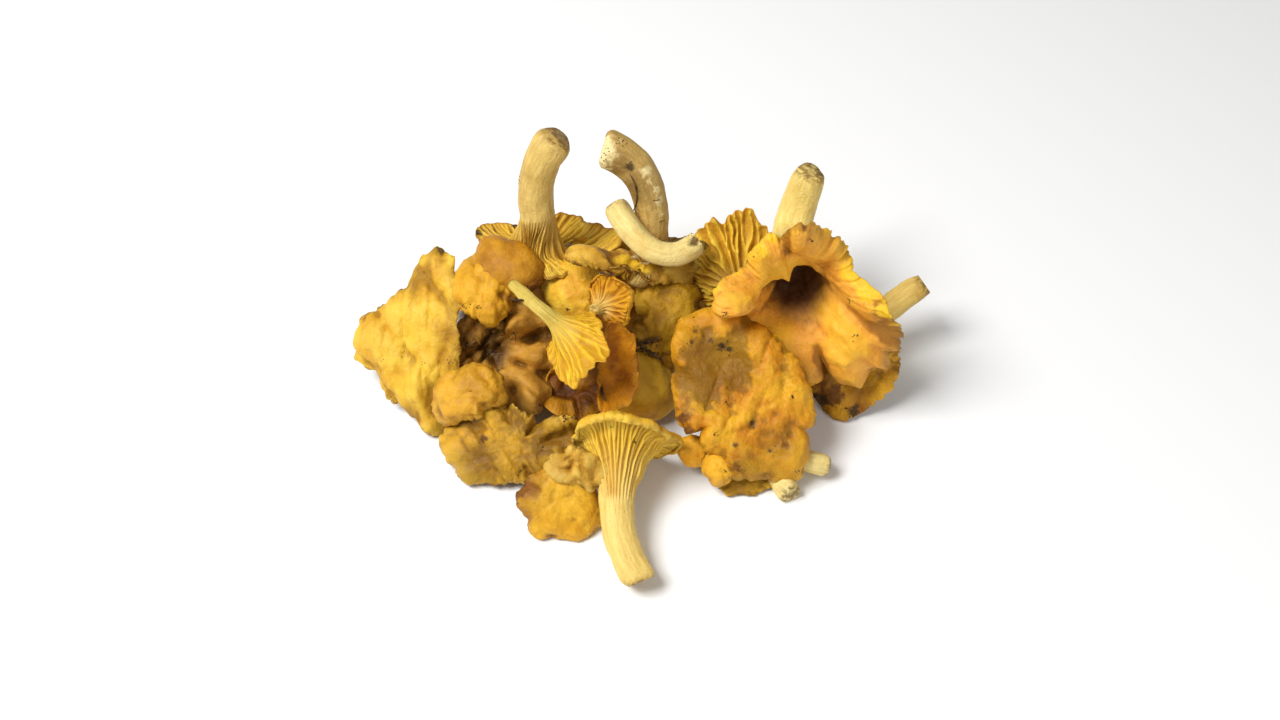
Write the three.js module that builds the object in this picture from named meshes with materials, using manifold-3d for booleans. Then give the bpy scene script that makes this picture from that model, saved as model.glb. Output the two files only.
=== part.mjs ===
// A heap of fresh chanterelle mushrooms lying on a flat surface.
//
// Frame: millimetres, +Z up, origin on the surface under the middle of the heap, +X to the right of
// the heap's front and +Y towards its back. Angles are in degrees.
//
// Every mushroom is one closed solid: a bent stem that flares into a cap, with blunt ridges on the
// flare and the underside. The surface is a stack of rings from the cut end of the stem, over the
// rim, to the crown, which is the middle of the cap's top. Seen from above a cap, the rings run
// anticlockwise from the side of the cap that hangs lowest.

import * as THREE from "three";
import { mergeVertices } from "three/addons/utils/BufferGeometryUtils.js";
import Module from "manifold-3d";

const wasm = await Module();
wasm.setup();

const DEG = Math.PI / 180;

const GAP = 0.35; // air left where two mushrooms press on each other
const RIM = 1.7; // thickness of the cap's edge
const CORE = 4.2; // thickness of the cap near the stem
const RIDGE = 1.3; // height of a ridge on the underside
const FLARE_END = 0.46; // share of the cap's length where the flare has become the underside
const WAVE_ONSET = 1.4; // how late along the cap its turns and waves set in
const CROWN_EASE = 0.14; // share of the cap's length that is rounded at the crown
const STEPS = 24; // steps of the sums along the cap and along the stem
const MIDDLE = [-0.529, -1.948]; // middle of the heap's box, in the measures below

// Rings of points: how many on the stem and the flare, and at which shares of the cap's length.
const FINE = { stem: 5, flare: 3, under: [0.46, 0.7, 0.93], top: [1, 0.86, 0.62, 0.34] };
const BROAD = { stem: 2, flare: 1, under: [0.46, 0.72, 0.93], top: [1, 0.84, 0.6, 0.3] };
const PLAIN = { stem: 2, flare: 1, under: [0.5, 0.92], top: [1, 0.76, 0.4] };

const LEMON = 0xe6b840;
const GOLDEN = 0xdb9c22;
const PEACH = 0xd98d2e;
const ORANGE = 0xcb7a16;
const OCHRE = 0xc68f2e;
const OLIVE = 0xb58d1e;
const BROWN = 0x9c6a26;
const CREAM = 0xdcc079;

// One row for each mushroom. "at" is its crown and "faces" the azimuth and elevation that its cap
// looks to. "slope" is the cap's rise at the crown, halfway and at the rim. "reach" is the length of
// flesh from crown to rim in eight directions, from the lowest one on, anticlockwise seen from
// above the cap, and "turn" what is added there to the slope at the rim. "lobed" and "wavy" are the
// natural unevenness of the outline and of the slope at the rim, drawn from "seed". A notch is
// [direction, width, depth]. The stem has its radius at the cap and at the cut end. It is straight
// and has a length, or it leaves the cap straight for its bow and ends at its foot.
const MUSHROOMS = [
  {
    name: "front_ridged", seed: 1, color: LEMON, at: [-9, -44, 18], faces: [90, 19], sides: 30,
    rings: FINE, ribbed: true, slope: [66, 78, -30], lobed: 0.03, wavy: 6,
    reach: [34, 32, 30, 31, 33, 37, 41, 38], turn: [0, 0, 0, 0, 0, 12, 20, 18],
    stem: { top: 6.6, base: 6.1, bow: 18, foot: [0, -86, 7] },
  },
  {
    name: "funnel", seed: 2, color: PEACH, at: [61, 34, 54], faces: [-93, 17], sides: 26,
    rings: FINE, ribbed: true, slope: [58, 40, -5], lobed: 0.04, wavy: 14,
    reach: [58, 60, 47, 31, 37, 29, 44, 50], turn: [-25, -20, 10, 15, 20, 20, 10, -18],
    notches: [[28, 5, 0.18]],
    stem: { top: 8, base: 7, bow: 18, foot: [70, 70, 72] },
  },
  {
    name: "back_ridged", seed: 20, color: LEMON, at: [41, 25, 48], faces: [87, -13], sides: 20,
    rings: FINE, ribbed: true, slope: [40, 26, 5], lobed: 0.06, wavy: 12,
    reach: [12, 17, 24, 30, 32, 30, 24, 16], turn: [0, 0, 0, 0, 0, 0, 0, 0],
    stem: { top: 4.4, base: 4.4, length: 8 },
  },
  {
    name: "right_broad", seed: 3, color: GOLDEN, at: [38, -18, 32], faces: [-81, 49], sides: 20,
    rings: BROAD, slope: [14, 8, -16], lobed: 0.03, wavy: 8,
    reach: [28, 34, 28, 28, 39, 33, 25, 23], turn: [-5, 0, 1, 9, -11, -34, -24, -10],
    stem: { top: 7, base: 6.5, length: 20 },
  },
  {
    name: "left_broad", seed: 4, color: LEMON, at: [-95, 16, 30], faces: [-114, 51], sides: 20,
    rings: BROAD, slope: [6, 0, -20], lobed: 0.03, wavy: 8,
    reach: [50, 37, 27, 27, 38, 25, 29, 37], turn: [-15, -16, 18, 28, 9, -6, -16, -20],
    stem: { top: 7, base: 6.5, length: 22 },
  },
  {
    name: "trumpet", seed: 12, color: LEMON, at: [-31, 0, 56], faces: [-18, -41], sides: 18,
    rings: FINE, ribbed: true, slope: [66, 50, 10], lobed: 0.08, wavy: 12,
    reach: [19, 16, 17, 18, 20, 26, 24, 20], turn: [0, 0, 0, 0, 6, 19, 5, 0],
    stem: { top: 3.4, base: 2.8, bow: 8, foot: [-51, 22, 56] },
  },
  {
    name: "small_fan", seed: 13, color: GOLDEN, at: [-15, 12, 54], faces: [50, -18], sides: 16,
    rings: PLAIN, ribbed: true, slope: [34, 12, -15], lobed: 0.05, wavy: 8,
    reach: [11, 9, 10, 12, 15, 14, 13, 12], turn: [0, 0, 0, 0, 0, 0, 0, 0],
    stem: { top: 2.6, base: 2.6, length: 6 },
  },
  {
    name: "curled_stem", seed: 18, color: CREAM, at: [23, 32, 68], faces: [61, 42], sides: 12,
    rings: FINE, slope: [0, -12, -40], lobed: 0.06, wavy: 8,
    reach: [9, 9, 9, 9, 9, 9, 9, 9], turn: [0, 0, 0, 0, 0, 0, 0, 0],
    stem: { top: 3.3, base: 4.4, bow: 22, foot: [-10, 41, 82] },
  },
  {
    name: "frayed_cap", seed: 29, color: LEMON, at: [15, 30, 57], faces: [-84, 19], sides: 14,
    rings: PLAIN, slope: [0, -20, -50], lobed: 0.06, wavy: 12,
    reach: [14, 14, 9, 8, 7, 8, 9, 13], turn: [0, 0, 0, 0, 0, 0, 0, 0],
    stem: { top: 2.4, base: 2.4, length: 7 },
  },
  {
    name: "brown_stem", seed: 19, color: OCHRE, at: [13, 35, 60], faces: [-57, -57], sides: 12,
    rings: FINE, ribbed: true, slope: [30, 10, -30], lobed: 0.06, wavy: 12,
    reach: [16, 16, 15, 16, 16, 15, 16, 16], turn: [0, 0, 0, 0, 0, 0, 0, 0],
    stem: { top: 5.8, base: 7.6, bow: 28, foot: [-14, 56, 98] },
  },
  {
    name: "left_back", seed: 8, color: ORANGE, at: [-53, 31, 58], faces: [-103, 64], sides: 14,
    rings: PLAIN, slope: [0, -15, -60], lobed: 0.05, wavy: 8,
    reach: [11, 18, 16, 13, 15, 20, 17, 12], turn: [-13, -19, -16, -2, 0, 9, 19, 3],
    stem: { top: 4, base: 3.6, length: 8 },
  },
  {
    name: "upside_down", seed: 9, color: LEMON, at: [-45, 43, 52], faces: [-128, -71], sides: 26,
    rings: FINE, ribbed: true, slope: [34, 16, -8], lobed: 0.05, wavy: 10,
    reach: [34, 40, 32, 22, 21, 25, 24, 26], turn: [-32, -39, -9, 23, 16, 0, 0, 0],
    stem: { top: 7.6, base: 7.2, bow: 26, foot: [-31, 55, 102] },
  },
  {
    name: "left_lobe", seed: 6, color: GOLDEN, at: [-62, 27, 46], faces: [-96, 62], sides: 14,
    rings: PLAIN, slope: [0, -18, -55], lobed: 0.06, wavy: 8,
    reach: [18, 18, 16, 13, 13, 16, 16, 15], turn: [-20, -10, -10, 0, 19, 0, 0, -10],
    stem: { top: 5, base: 4.5, length: 8 },
  },
  {
    name: "small_band", seed: 7, color: OCHRE, at: [-67, -15, 33], faces: [-105, 55], sides: 14,
    rings: PLAIN, slope: [0, -20, -60], lobed: 0.04, wavy: 6,
    reach: [12, 10, 13, 14, 13, 13, 18, 20], turn: [7, 10, 2, 0, 0, 0, -17, -12],
    stem: { top: 4, base: 3.6, length: 8 },
  },
  {
    name: "hollow_brown", seed: 5, color: BROWN, at: [-64, 18, 20], faces: [-85, 56], sides: 16,
    rings: BROAD, slope: [30, 50, -20], lobed: 0.08, wavy: 16,
    reach: [24, 33, 36, 34, 23, 16, 14, 16], turn: [-20, -10, 0, -19, 10, 20, 0, 0],
    stem: { top: 5, base: 5, length: 12 },
  },
  {
    name: "pale_button", seed: 11, color: LEMON, at: [-25, 25, 50], faces: [-101, 58], sides: 14,
    rings: PLAIN, slope: [0, -20, -70], lobed: 0.04, wavy: 6,
    reach: [18, 19, 15, 13, 14, 15, 16, 19], turn: [0, 0, 0, 0, 0, 0, 0, 0],
    stem: { top: 4.4, base: 4, length: 8 },
  },
  {
    name: "rolled_edge", seed: 10, color: OCHRE, at: [2, 32, 58], faces: [36, 61], sides: 16,
    rings: BROAD, ribbed: true, slope: [6, 0, -30], lobed: 0.03, wavy: 6,
    reach: [29, 28, 18, 32, 20, 17, 19, 28], turn: [-19, -1, 0, -10, -22, -59, -40, -30],
    stem: { top: 5, base: 5, length: 10 },
  },
  {
    name: "torn_mid", seed: 16, color: OCHRE, at: [11, 20, 44], faces: [-85, 56], sides: 14,
    rings: PLAIN, slope: [4, -8, -35], lobed: 0.05, wavy: 10,
    reach: [20, 19, 18, 17, 15, 15, 11, 17], turn: [-20, -10, -10, 0, 0, 0, 20, 19],
    stem: { top: 4, base: 4, length: 8 },
  },
  {
    name: "tall_fold", seed: 14, color: ORANGE, at: [-11, -5, 37], faces: [-78, 44], sides: 14,
    rings: PLAIN, slope: [0, -10, -45], lobed: 0.03, wavy: 5,
    reach: [20, 15, 10, 15, 18, 12, 11, 16], turn: [-1, -9, 0, 0, 0, -1, -8, 9],
    stem: { top: 3.5, base: 3.5, length: 8 },
  },
  {
    name: "olive_dome", seed: 15, color: OLIVE, at: [1, -2, 25], faces: [-73, 49], sides: 14,
    rings: PLAIN, slope: [0, -18, -62], lobed: 0.04, wavy: 6,
    reach: [20, 20, 15, 14, 15, 16, 17, 19], turn: [0, 0, 0, 0, 0, 0, 0, 0],
    stem: { top: 5, base: 5, length: 10 },
  },
  {
    name: "olive_low", seed: 17, color: OLIVE, at: [8, 12, 30], faces: [-90, 53], sides: 10,
    rings: PLAIN, slope: [0, -14, -50], lobed: 0.04, wavy: 6,
    reach: [12, 13, 14, 13, 13, 12, 11, 11], turn: [0, 0, 0, 0, 0, 0, 0, 0],
    stem: { top: 4, base: 4, length: 8 },
  },
  {
    name: "under_funnel", seed: 21, color: GOLDEN, at: [86, 14, 22.5], faces: [-106, 22], sides: 16,
    rings: FINE, slope: [30, 18, 0], lobed: 0.04, wavy: 8,
    reach: [27, 24, 22, 20, 18, 16, 19, 22], turn: [0, 0, 0, 0, 0, 0, 0, 0],
    stem: { top: 6, base: 5.5, bow: 16, foot: [120, 46, 30] },
  },
  {
    name: "button_a", seed: 22, color: OCHRE, at: [21, -29, 16], faces: [-102, 61], sides: 10,
    rings: PLAIN, slope: [0, -25, -80], lobed: 0.03, wavy: 4,
    reach: [11, 10, 7, 8, 9, 9, 9, 10], turn: [0, 0, 0, 0, 0, 0, 0, 0],
    stem: { top: 2.6, base: 2.6, length: 10 },
  },
  {
    name: "button_b", seed: 23, color: OCHRE, at: [31, -38, 16], faces: [-90, 61], sides: 10,
    rings: PLAIN, slope: [0, -25, -80], lobed: 0.03, wavy: 4,
    reach: [12, 11, 9, 8, 8, 8, 9, 10], turn: [0, 0, 0, 0, 0, 0, 0, 0],
    stem: { top: 2.6, base: 2.6, length: 10 },
  },
  {
    name: "stub_right", seed: 30, color: CREAM, at: [58, -30, 12], faces: [176, 18], sides: 10,
    rings: PLAIN, slope: [0, -10, -30], lobed: 0.03, wavy: 4,
    reach: [10, 10, 10, 10, 10, 10, 10, 10], turn: [0, 0, 0, 0, 0, 0, 0, 0],
    stem: { top: 4, base: 4.4, bow: 6, foot: [75, -31, 6] },
  },
  {
    name: "stub_front", seed: 31, color: CREAM, at: [50, -29, 8.5], faces: [146, 40], sides: 10,
    rings: PLAIN, slope: [0, -10, -30], lobed: 0.03, wavy: 4,
    reach: [11, 11, 11, 11, 11, 11, 11, 11], turn: [0, 0, 0, 0, 0, 0, 0, 0],
    stem: { top: 4.6, base: 5, bow: 6, foot: [60, -44, 4.5] },
  },
  {
    name: "under_right", seed: 24, color: OLIVE, at: [41, -36, 5], faces: [-90, 61], sides: 10,
    rings: PLAIN, slope: [0, 0, -15], lobed: 0.03, wavy: 4,
    reach: [8, 10, 14, 13, 10, 12, 12, 10], turn: [0, 0, 0, 0, 0, 0, 0, 0],
    stem: { top: 3, base: 3, length: 6 },
  },
  {
    name: "lower_scrap", seed: 27, color: OCHRE, at: [-24, -46, 28], faces: [-100, 55], sides: 10,
    rings: PLAIN, slope: [0, -20, -60], lobed: 0.06, wavy: 8,
    reach: [7, 11, 11, 9, 8, 9, 11, 8], turn: [0, 0, 0, 0, 0, 0, 0, 0],
    stem: { top: 2.4, base: 2.4, length: 7 },
  },
  {
    name: "lower_left", seed: 25, color: OCHRE, at: [-49, -30, 16.5], faces: [-100, 55], sides: 18,
    rings: BROAD, slope: [8, 0, -25], lobed: 0.04, wavy: 8,
    reach: [21, 22, 35, 20, 14, 23, 35, 27], turn: [-30, -2, 19, 25, 30, 12, -9, -29],
    stem: { top: 6, base: 5, length: 10 },
  },
  {
    name: "lower_dome", seed: 26, color: GOLDEN, at: [-31, -55, 16], faces: [-86, 44], sides: 14,
    rings: PLAIN, slope: [0, -18, -60], lobed: 0.04, wavy: 6,
    reach: [20, 21, 17, 15, 15, 18, 19, 15], turn: [0, 0, 0, 0, 0, 0, 10, 20],
    stem: { top: 5, base: 4.5, length: 8 },
  },
  {
    name: "core_orange", seed: 28, color: ORANGE, at: [-31, 4, 14], faces: [-90, 56], sides: 12,
    rings: PLAIN, slope: [40, 30, 0], lobed: 0.05, wavy: 10,
    reach: [15, 19, 18, 20, 21, 17, 12, 14], turn: [0, 0, 0, 0, 0, 0, 0, 0],
    stem: { top: 4, base: 4, length: 8 },
  },
  {
    name: "back_left", seed: 32, color: GOLDEN, at: [-62, 60, 23], faces: [118, 24], sides: 16,
    rings: BROAD, slope: [20, 5, -30], lobed: 0.06, wavy: 12,
    reach: [26, 28, 27, 25, 26, 25, 27, 28], turn: [0, 0, 0, 0, 0, 0, 0, 0],
    stem: { top: 7, base: 6, length: 24 },
  },
  {
    name: "back_middle", seed: 33, color: GOLDEN, at: [-18, 52, 22], faces: [-96, 22], sides: 20,
    rings: BROAD, ribbed: true, slope: [40, 22, -15], lobed: 0.06, wavy: 12,
    reach: [27, 26, 28, 27, 26, 28, 26, 25], turn: [0, 0, 0, 0, 0, 0, 0, 0],
    stem: { top: 7, base: 6, length: 34 },
  },
  {
    name: "back_right", seed: 34, color: GOLDEN, at: [30, 58, 22], faces: [66, 34], sides: 16,
    rings: BROAD, slope: [22, 6, -30], lobed: 0.06, wavy: 12,
    reach: [26, 26, 24, 25, 26, 27, 25, 26], turn: [0, 0, 0, 0, 0, 0, 0, 0],
    stem: { top: 7, base: 6, length: 24 },
  },
];

// The n-th fixed random share, from 0 to 1, of the mushroom with this seed.
function share(seed, n) {
  const x = Math.sin(seed * 12.9898 + n * 78.233) * 43758.5453;
  return x - Math.floor(x);
}

// A sum of cosines round the stem: each term is [count, size, direction].
function roundSum(terms, angle) {
  return terms.reduce(
    (sum, [count, size, direction]) => sum + size * Math.cos(count * (angle - direction * DEG)),
    0,
  );
}

// The natural unevenness of one mushroom: terms of 2 to 6 lobes that get smaller as they get finer.
function naturalTerms(seed, offset, size) {
  return [2, 3, 4, 5, 6].map((count) => [
    count,
    (size * (0.4 + share(seed, offset + count))) / Math.sqrt(count),
    360 * share(seed, offset + 20 + count),
  ]);
}

// How much of the cap's length is left at this angle once its notches are cut.
function notched(notches, angle) {
  return notches.reduce((left, [direction, width, depth]) => {
    const off = Math.atan2(Math.sin(angle - direction * DEG), Math.cos(angle - direction * DEG));
    return left - depth * Math.exp(-((off / (width * DEG)) ** 2));
  }, 1);
}

// The value at this angle of a list that holds one value for each of eight even directions.
function around(values, angle) {
  const turns = angle / (2 * Math.PI);
  const at = (turns - Math.floor(turns)) * values.length;
  const k = Math.floor(at);
  const part = (1 - Math.cos(Math.PI * (at - k))) / 2;
  return THREE.MathUtils.lerp(values[k % values.length], values[(k + 1) % values.length], part);
}

// The cap's profile at one angle: a line of flesh that leaves the crown and turns from slope to
// slope. Returns a function from the share of its length to its radius, height and slope.
function capLine(m, angle) {
  const length = around(m.reach, angle) * (1 + roundSum(m.lobeTerms, angle))
    * notched(m.notches, angle);
  const wave = around(m.turn, angle) + roundSum(m.waveTerms, angle);
  const slopeAt = (s) => {
    const [crown, half, rim] = m.slope;
    const even = (1 - s) ** 2 * crown + 2 * s * (1 - s) * half + s ** 2 * rim;
    return (even * (1 - Math.exp(-s / CROWN_EASE)) + wave * s ** WAVE_ONSET) * DEG;
  };
  const radius = [0];
  const height = [0];
  for (let k = 0; k < STEPS; k++) {
    const slope = slopeAt((k + 0.5) / STEPS);
    radius.push(radius[k] + (Math.cos(slope) * length) / STEPS);
    height.push(height[k] + (Math.sin(slope) * length) / STEPS);
  }
  return (s) => {
    const k = Math.min(Math.floor(s * STEPS), STEPS - 1);
    const part = s * STEPS - k;
    return {
      radius: THREE.MathUtils.lerp(radius[k], radius[k + 1], part),
      height: THREE.MathUtils.lerp(height[k], height[k + 1], part),
      slope: slopeAt(s),
    };
  };
}

const capThickness = (s) => RIM + (CORE - RIM) * (1 - s) ** 2;

// The stem's axis from the neck to its foot: a bent line that leaves the cap straight.
function stemAxis(m) {
  const { neck, bow, end } = m.stem;
  const start = new THREE.Vector3(0, 0, -neck);
  return new THREE.QuadraticBezierCurve3(start, new THREE.Vector3(0, 0, -neck - bow), end);
}

// A point on the stem: t runs from 0 at the neck to 1 at the cut end.
function stemPoint(m, axis, t, angle) {
  const { top, base } = m.stem;
  const radius = THREE.MathUtils.lerp(top, base, t) * (1 + 0.08 * t * Math.sin(3 * angle + m.seed));
  const turn = new THREE.Quaternion().setFromUnitVectors(
    new THREE.Vector3(0, 0, -1),
    axis.getTangent(t),
  );
  return new THREE.Vector3(Math.cos(angle) * radius, Math.sin(angle) * radius, 0)
    .applyQuaternion(turn)
    .add(axis.getPoint(t));
}

// A point at this radius and height, pushed out of the underside by "out" along the slope's normal.
function capPoint(radius, height, slope, out, angle) {
  const r = radius + out * Math.sin(slope);
  return new THREE.Vector3(r * Math.cos(angle), r * Math.sin(angle), height - out * Math.cos(slope));
}

// Every ring of one mushroom, from the cut end of its stem to the crown.
function ringsOf(m) {
  const axis = stemAxis(m);
  const angles = Array.from({ length: m.sides }, (_, i) => (2 * Math.PI * i) / m.sides);
  const lines = angles.map((angle) => capLine(m, angle));
  const ridge = (i) => (m.ribbed ? (i % 2 ? -0.5 : 0.5) * RIDGE : 0);
  const under = (i, s, ridged) => {
    const { radius, height, slope } = lines[i](s);
    return capPoint(radius, height, slope, capThickness(s) + ridge(i) * ridged, angles[i]);
  };
  const rings = [];
  const { stem, flare, under: underShares, top: topShares } = m.rings;
  for (let k = 0; k < stem; k++) {
    rings.push(angles.map((angle) => stemPoint(m, axis, 1 - k / (stem - 1), angle)));
  }
  for (let k = 1; k <= flare; k++) {
    const t = k / (flare + 1);
    rings.push(angles.map((angle, i) => {
      const { radius, height, slope } = lines[i](FLARE_END);
      const end = capPoint(radius, height, slope, capThickness(FLARE_END), angle);
      const start = stemPoint(m, axis, 0, angle);
      const pull = end.distanceTo(start);
      const leave = new THREE.Vector3(0, 0, pull);
      const arrive = new THREE.Vector3(
        Math.cos(slope) * Math.cos(angle) * pull,
        Math.cos(slope) * Math.sin(angle) * pull,
        Math.sin(slope) * pull,
      );
      const point = start.multiplyScalar(2 * t ** 3 - 3 * t ** 2 + 1)
        .addScaledVector(leave, t ** 3 - 2 * t ** 2 + t)
        .addScaledVector(end, 3 * t ** 2 - 2 * t ** 3)
        .addScaledVector(arrive, t ** 3 - t ** 2);
      const outward = new THREE.Vector3(Math.cos(angle), Math.sin(angle), -0.5).normalize();
      return point.addScaledVector(outward, ridge(i) * t);
    }));
  }
  for (const s of underShares) {
    rings.push(angles.map((_, i) => under(i, s, s < 0.9 ? 1 : 0.4)));
  }
  rings.push(angles.map((angle, i) => {
    const { radius, height, slope } = lines[i](1);
    return capPoint(
      radius + 0.5 * RIM * Math.cos(slope), height + 0.5 * RIM * Math.sin(slope), slope, 0.5 * RIM, angle,
    );
  }));
  for (const s of topShares) {
    rings.push(angles.map((angle, i) => {
      const { radius, height, slope } = lines[i](s);
      return capPoint(radius, height, slope, 0, angle);
    }));
  }
  return { rings, base: axis.getPoint(1), crown: new THREE.Vector3(0, 0, 0) };
}

// Joins rings of points, and a middle point at each end, into one closed geometry.
function closedGeometry({ rings, base, crown }) {
  const sides = rings[0].length;
  const points = [base, ...rings.flat(), crown];
  const faces = [];
  const corner = (ring, i) => 1 + ring * sides + (i % sides);
  for (let i = 0; i < sides; i++) {
    faces.push(0, corner(0, i + 1), corner(0, i));
    for (let ring = 0; ring + 1 < rings.length; ring++) {
      const quad = [corner(ring, i), corner(ring, i + 1), corner(ring + 1, i + 1), corner(ring + 1, i)];
      faces.push(quad[0], quad[1], quad[2], quad[0], quad[2], quad[3]);
    }
    faces.push(corner(rings.length - 1, i), corner(rings.length - 1, i + 1), points.length - 1);
  }
  const geometry = new THREE.BufferGeometry().setFromPoints(points);
  geometry.setIndex(faces);
  return geometry;
}

// The same geometry grown by a distance along its vertices' normals.
function grown(geometry, distance) {
  const made = geometry.clone();
  made.computeVertexNormals();
  const { position, normal } = made.attributes;
  for (let i = 0; i < position.count; i++) {
    position.setXYZ(
      i,
      position.getX(i) + normal.getX(i) * distance,
      position.getY(i) + normal.getY(i) * distance,
      position.getZ(i) + normal.getZ(i) * distance,
    );
  }
  return made;
}

// A geometry in the heap's frame as a solid, and back.
function toSolid(geometry, matrix) {
  const bare = new THREE.BufferGeometry()
    .setAttribute("position", geometry.getAttribute("position").clone())
    .setIndex(geometry.index);
  const merged = mergeVertices(bare.applyMatrix4(matrix), 1e-4);
  return new wasm.Manifold(
    new wasm.Mesh({
      numProp: 3,
      vertProperties: merged.attributes.position.array,
      triVerts: new Uint32Array(merged.index.array),
    }),
  );
}

function toGeometry(solid) {
  const mesh = solid.getMesh();
  return new THREE.BufferGeometry()
    .setAttribute("position", new THREE.BufferAttribute(new Float32Array(mesh.vertProperties), 3))
    .setIndex(new THREE.BufferAttribute(new Uint32Array(mesh.triVerts), 1));
}

// The matrix that puts a mushroom's crown at "at" with its cap facing "faces".
function placeOf(m) {
  const [azimuth, elevation] = m.faces;
  const turn = new THREE.Quaternion()
    .setFromAxisAngle(new THREE.Vector3(0, 0, 1), azimuth * DEG)
    .multiply(
      new THREE.Quaternion().setFromAxisAngle(new THREE.Vector3(0, 1, 0), (90 - elevation) * DEG),
    );
  return new THREE.Matrix4().compose(new THREE.Vector3(...m.at), turn, new THREE.Vector3(1, 1, 1));
}

// Fills in what a row leaves out, and gives the stem's end in the mushroom's own frame.
function complete(row, place) {
  const { length, foot } = row.stem;
  const end = foot
    ? new THREE.Vector3(...foot).applyMatrix4(place.clone().invert())
    : new THREE.Vector3(0, 0, -length);
  const cap = row.reach.reduce((sum, value) => sum + value) / row.reach.length;
  const neck = Math.min(0.35 * cap, 0.4 * end.length());
  return {
    ...row,
    notches: row.notches ?? [],
    lobeTerms: naturalTerms(row.seed, 0, row.lobed),
    waveTerms: naturalTerms(row.seed, 50, row.wavy),
    stem: { neck, bow: (end.length() - neck) / 2, ...row.stem, end },
  };
}

// The box of everything below the surface that the heap lies on.
function belowSurface() {
  const depth = 200;
  return toSolid(
    new THREE.BoxGeometry(2 * depth, 2 * depth, depth),
    new THREE.Matrix4().makeTranslation(0, 0, -depth / 2),
  );
}

// Builds the heap: each mushroom is flattened on the surface, then dented by those before it.
function buildHeap() {
  const heap = new THREE.Group();
  const ground = belowSurface();
  const placed = [];
  for (const row of MUSHROOMS) {
    const place = placeOf(row);
    const m = complete(row, place);
    const geometry = closedGeometry(ringsOf(m));
    const whole = toSolid(geometry, place);
    let solid = whole.subtract(ground);
    for (const neighbour of placed) solid = solid.subtract(neighbour);
    placed.push(toSolid(grown(geometry, GAP), place).add(whole));
    solid = solid.decompose().reduce((a, b) => (a.volume() > b.volume() ? a : b));
    const mesh = new THREE.Mesh(
      toGeometry(solid).applyMatrix4(place.clone().invert()),
      new THREE.MeshStandardMaterial({ color: m.color, roughness: 0.62, metalness: 0 }),
    );
    mesh.applyMatrix4(place);
    mesh.name = m.name;
    heap.add(mesh);
  }
  heap.position.set(-MIDDLE[0], -MIDDLE[1], 0);
  return heap;
}

export default buildHeap();
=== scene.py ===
"""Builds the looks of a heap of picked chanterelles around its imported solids.

Every mushroom is one closed skin: a cut end, a stem, a flare, an underside with forked ridges, a
rim, and a top down to the crown. Crumbs of soil and threads of plant lie on the skins.
"""

import math

import bpy
import numpy as np
from bpy.props import FloatProperty, FloatVectorProperty, PointerProperty
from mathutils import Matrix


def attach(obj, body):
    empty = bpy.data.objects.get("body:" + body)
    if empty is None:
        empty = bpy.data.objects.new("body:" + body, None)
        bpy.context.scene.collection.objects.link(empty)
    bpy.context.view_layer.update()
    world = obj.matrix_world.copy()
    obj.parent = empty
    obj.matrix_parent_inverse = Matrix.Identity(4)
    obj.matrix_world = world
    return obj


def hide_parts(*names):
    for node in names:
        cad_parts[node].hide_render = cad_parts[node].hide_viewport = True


bl_info = {
    "name": "Chanterelle Heap",
    "version": (1, 0, 0),
    "blender": (4, 5, 0),
    "location": "3D View > Sidebar > Chanterelles",
    "description": "Skins, ridges, soil and stage for a heap of picked chanterelles",
    "category": "Mesh",
}

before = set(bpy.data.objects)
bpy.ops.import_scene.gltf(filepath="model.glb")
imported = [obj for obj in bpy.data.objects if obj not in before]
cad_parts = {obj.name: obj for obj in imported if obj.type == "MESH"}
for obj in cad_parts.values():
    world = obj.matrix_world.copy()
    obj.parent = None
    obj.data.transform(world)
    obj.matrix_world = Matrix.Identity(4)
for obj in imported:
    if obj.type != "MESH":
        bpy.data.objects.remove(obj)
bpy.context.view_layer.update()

MM = 0.001
DEG = math.pi / 180
MIDDLE = (-0.529, -1.948)  # middle of the heap's box in the measures below, mm
FLARE_END = 0.46  # share of the cap's length where the flare has become the underside
WAVE_ONSET = 1.4  # how late along the cap its turns and waves set in
CROWN_EASE = 0.14  # share of the cap's length that is rounded at the crown
STEPS = 72  # steps of the sums along the cap
CUT_FROM = 0.6  # share of the cap's length past which notches and tears shorten it
CUT_MOST = 0.38  # the most that they take off, as a share of the length
RIM_RINGS = 5  # rings of points round the rim
RIM_ROUND = 70 * DEG  # how far the rim's rings turn from its edge to either face
RIM_BULGE = 0.32  # how far the rim stands out past its end, as a share of its thickness
RIM_THIN = 0.35  # share by which the flesh thins towards the rim
RIM_THIN_FROM = 0.75  # share of the cap's length where that starts
TOP_SPACING = 0.95  # power that spaces the rings of the top, a little wider near the rim
VALLEY_DEPTH = 0.35  # how far the flesh between ridges is sunk, mm
GRAIN_LENGTH = 0.02  # how much the grain changes in a mm along the flesh
RIM_FADE = 2.2  # how far in from the rim its colour reaches, mm
CUT_FADE = 1.6  # how far up from the cut end its colour reaches, mm
TOP_GAP = 1.5  # how far a top stays above its underside where the table presses both flat, mm
CUT_EDGE = (0.80, 0.93, 0.985)  # widths of the first rings, which round the stem's cut end
CUT_DIP = 0.15  # how far the middle of the cut end is sunk, mm
SKIN_FACTS = ("stem", "under", "rim", "along", "crest", "proud", "cut")  # stored for the flesh
# Shade marks are painted shade.
MARK_KINDS = ("brown", "dark", "pale", "shade")
TABLE_HALF = 2.5  # half the width of the table top, m
LOOK_HEIGHT = 0.035  # height of the point that the camera looks at, m
SENSOR = 36.0  # width of the camera's sensor, mm
LAMPS = (  # name, place and width in m, and share of the main light's power
    ("window", (-0.68, -0.23, 1.13), 0.65, 1.0),
    ("fill", (0.5, -0.65, 0.5), 0.7, 0.09),
)
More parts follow.
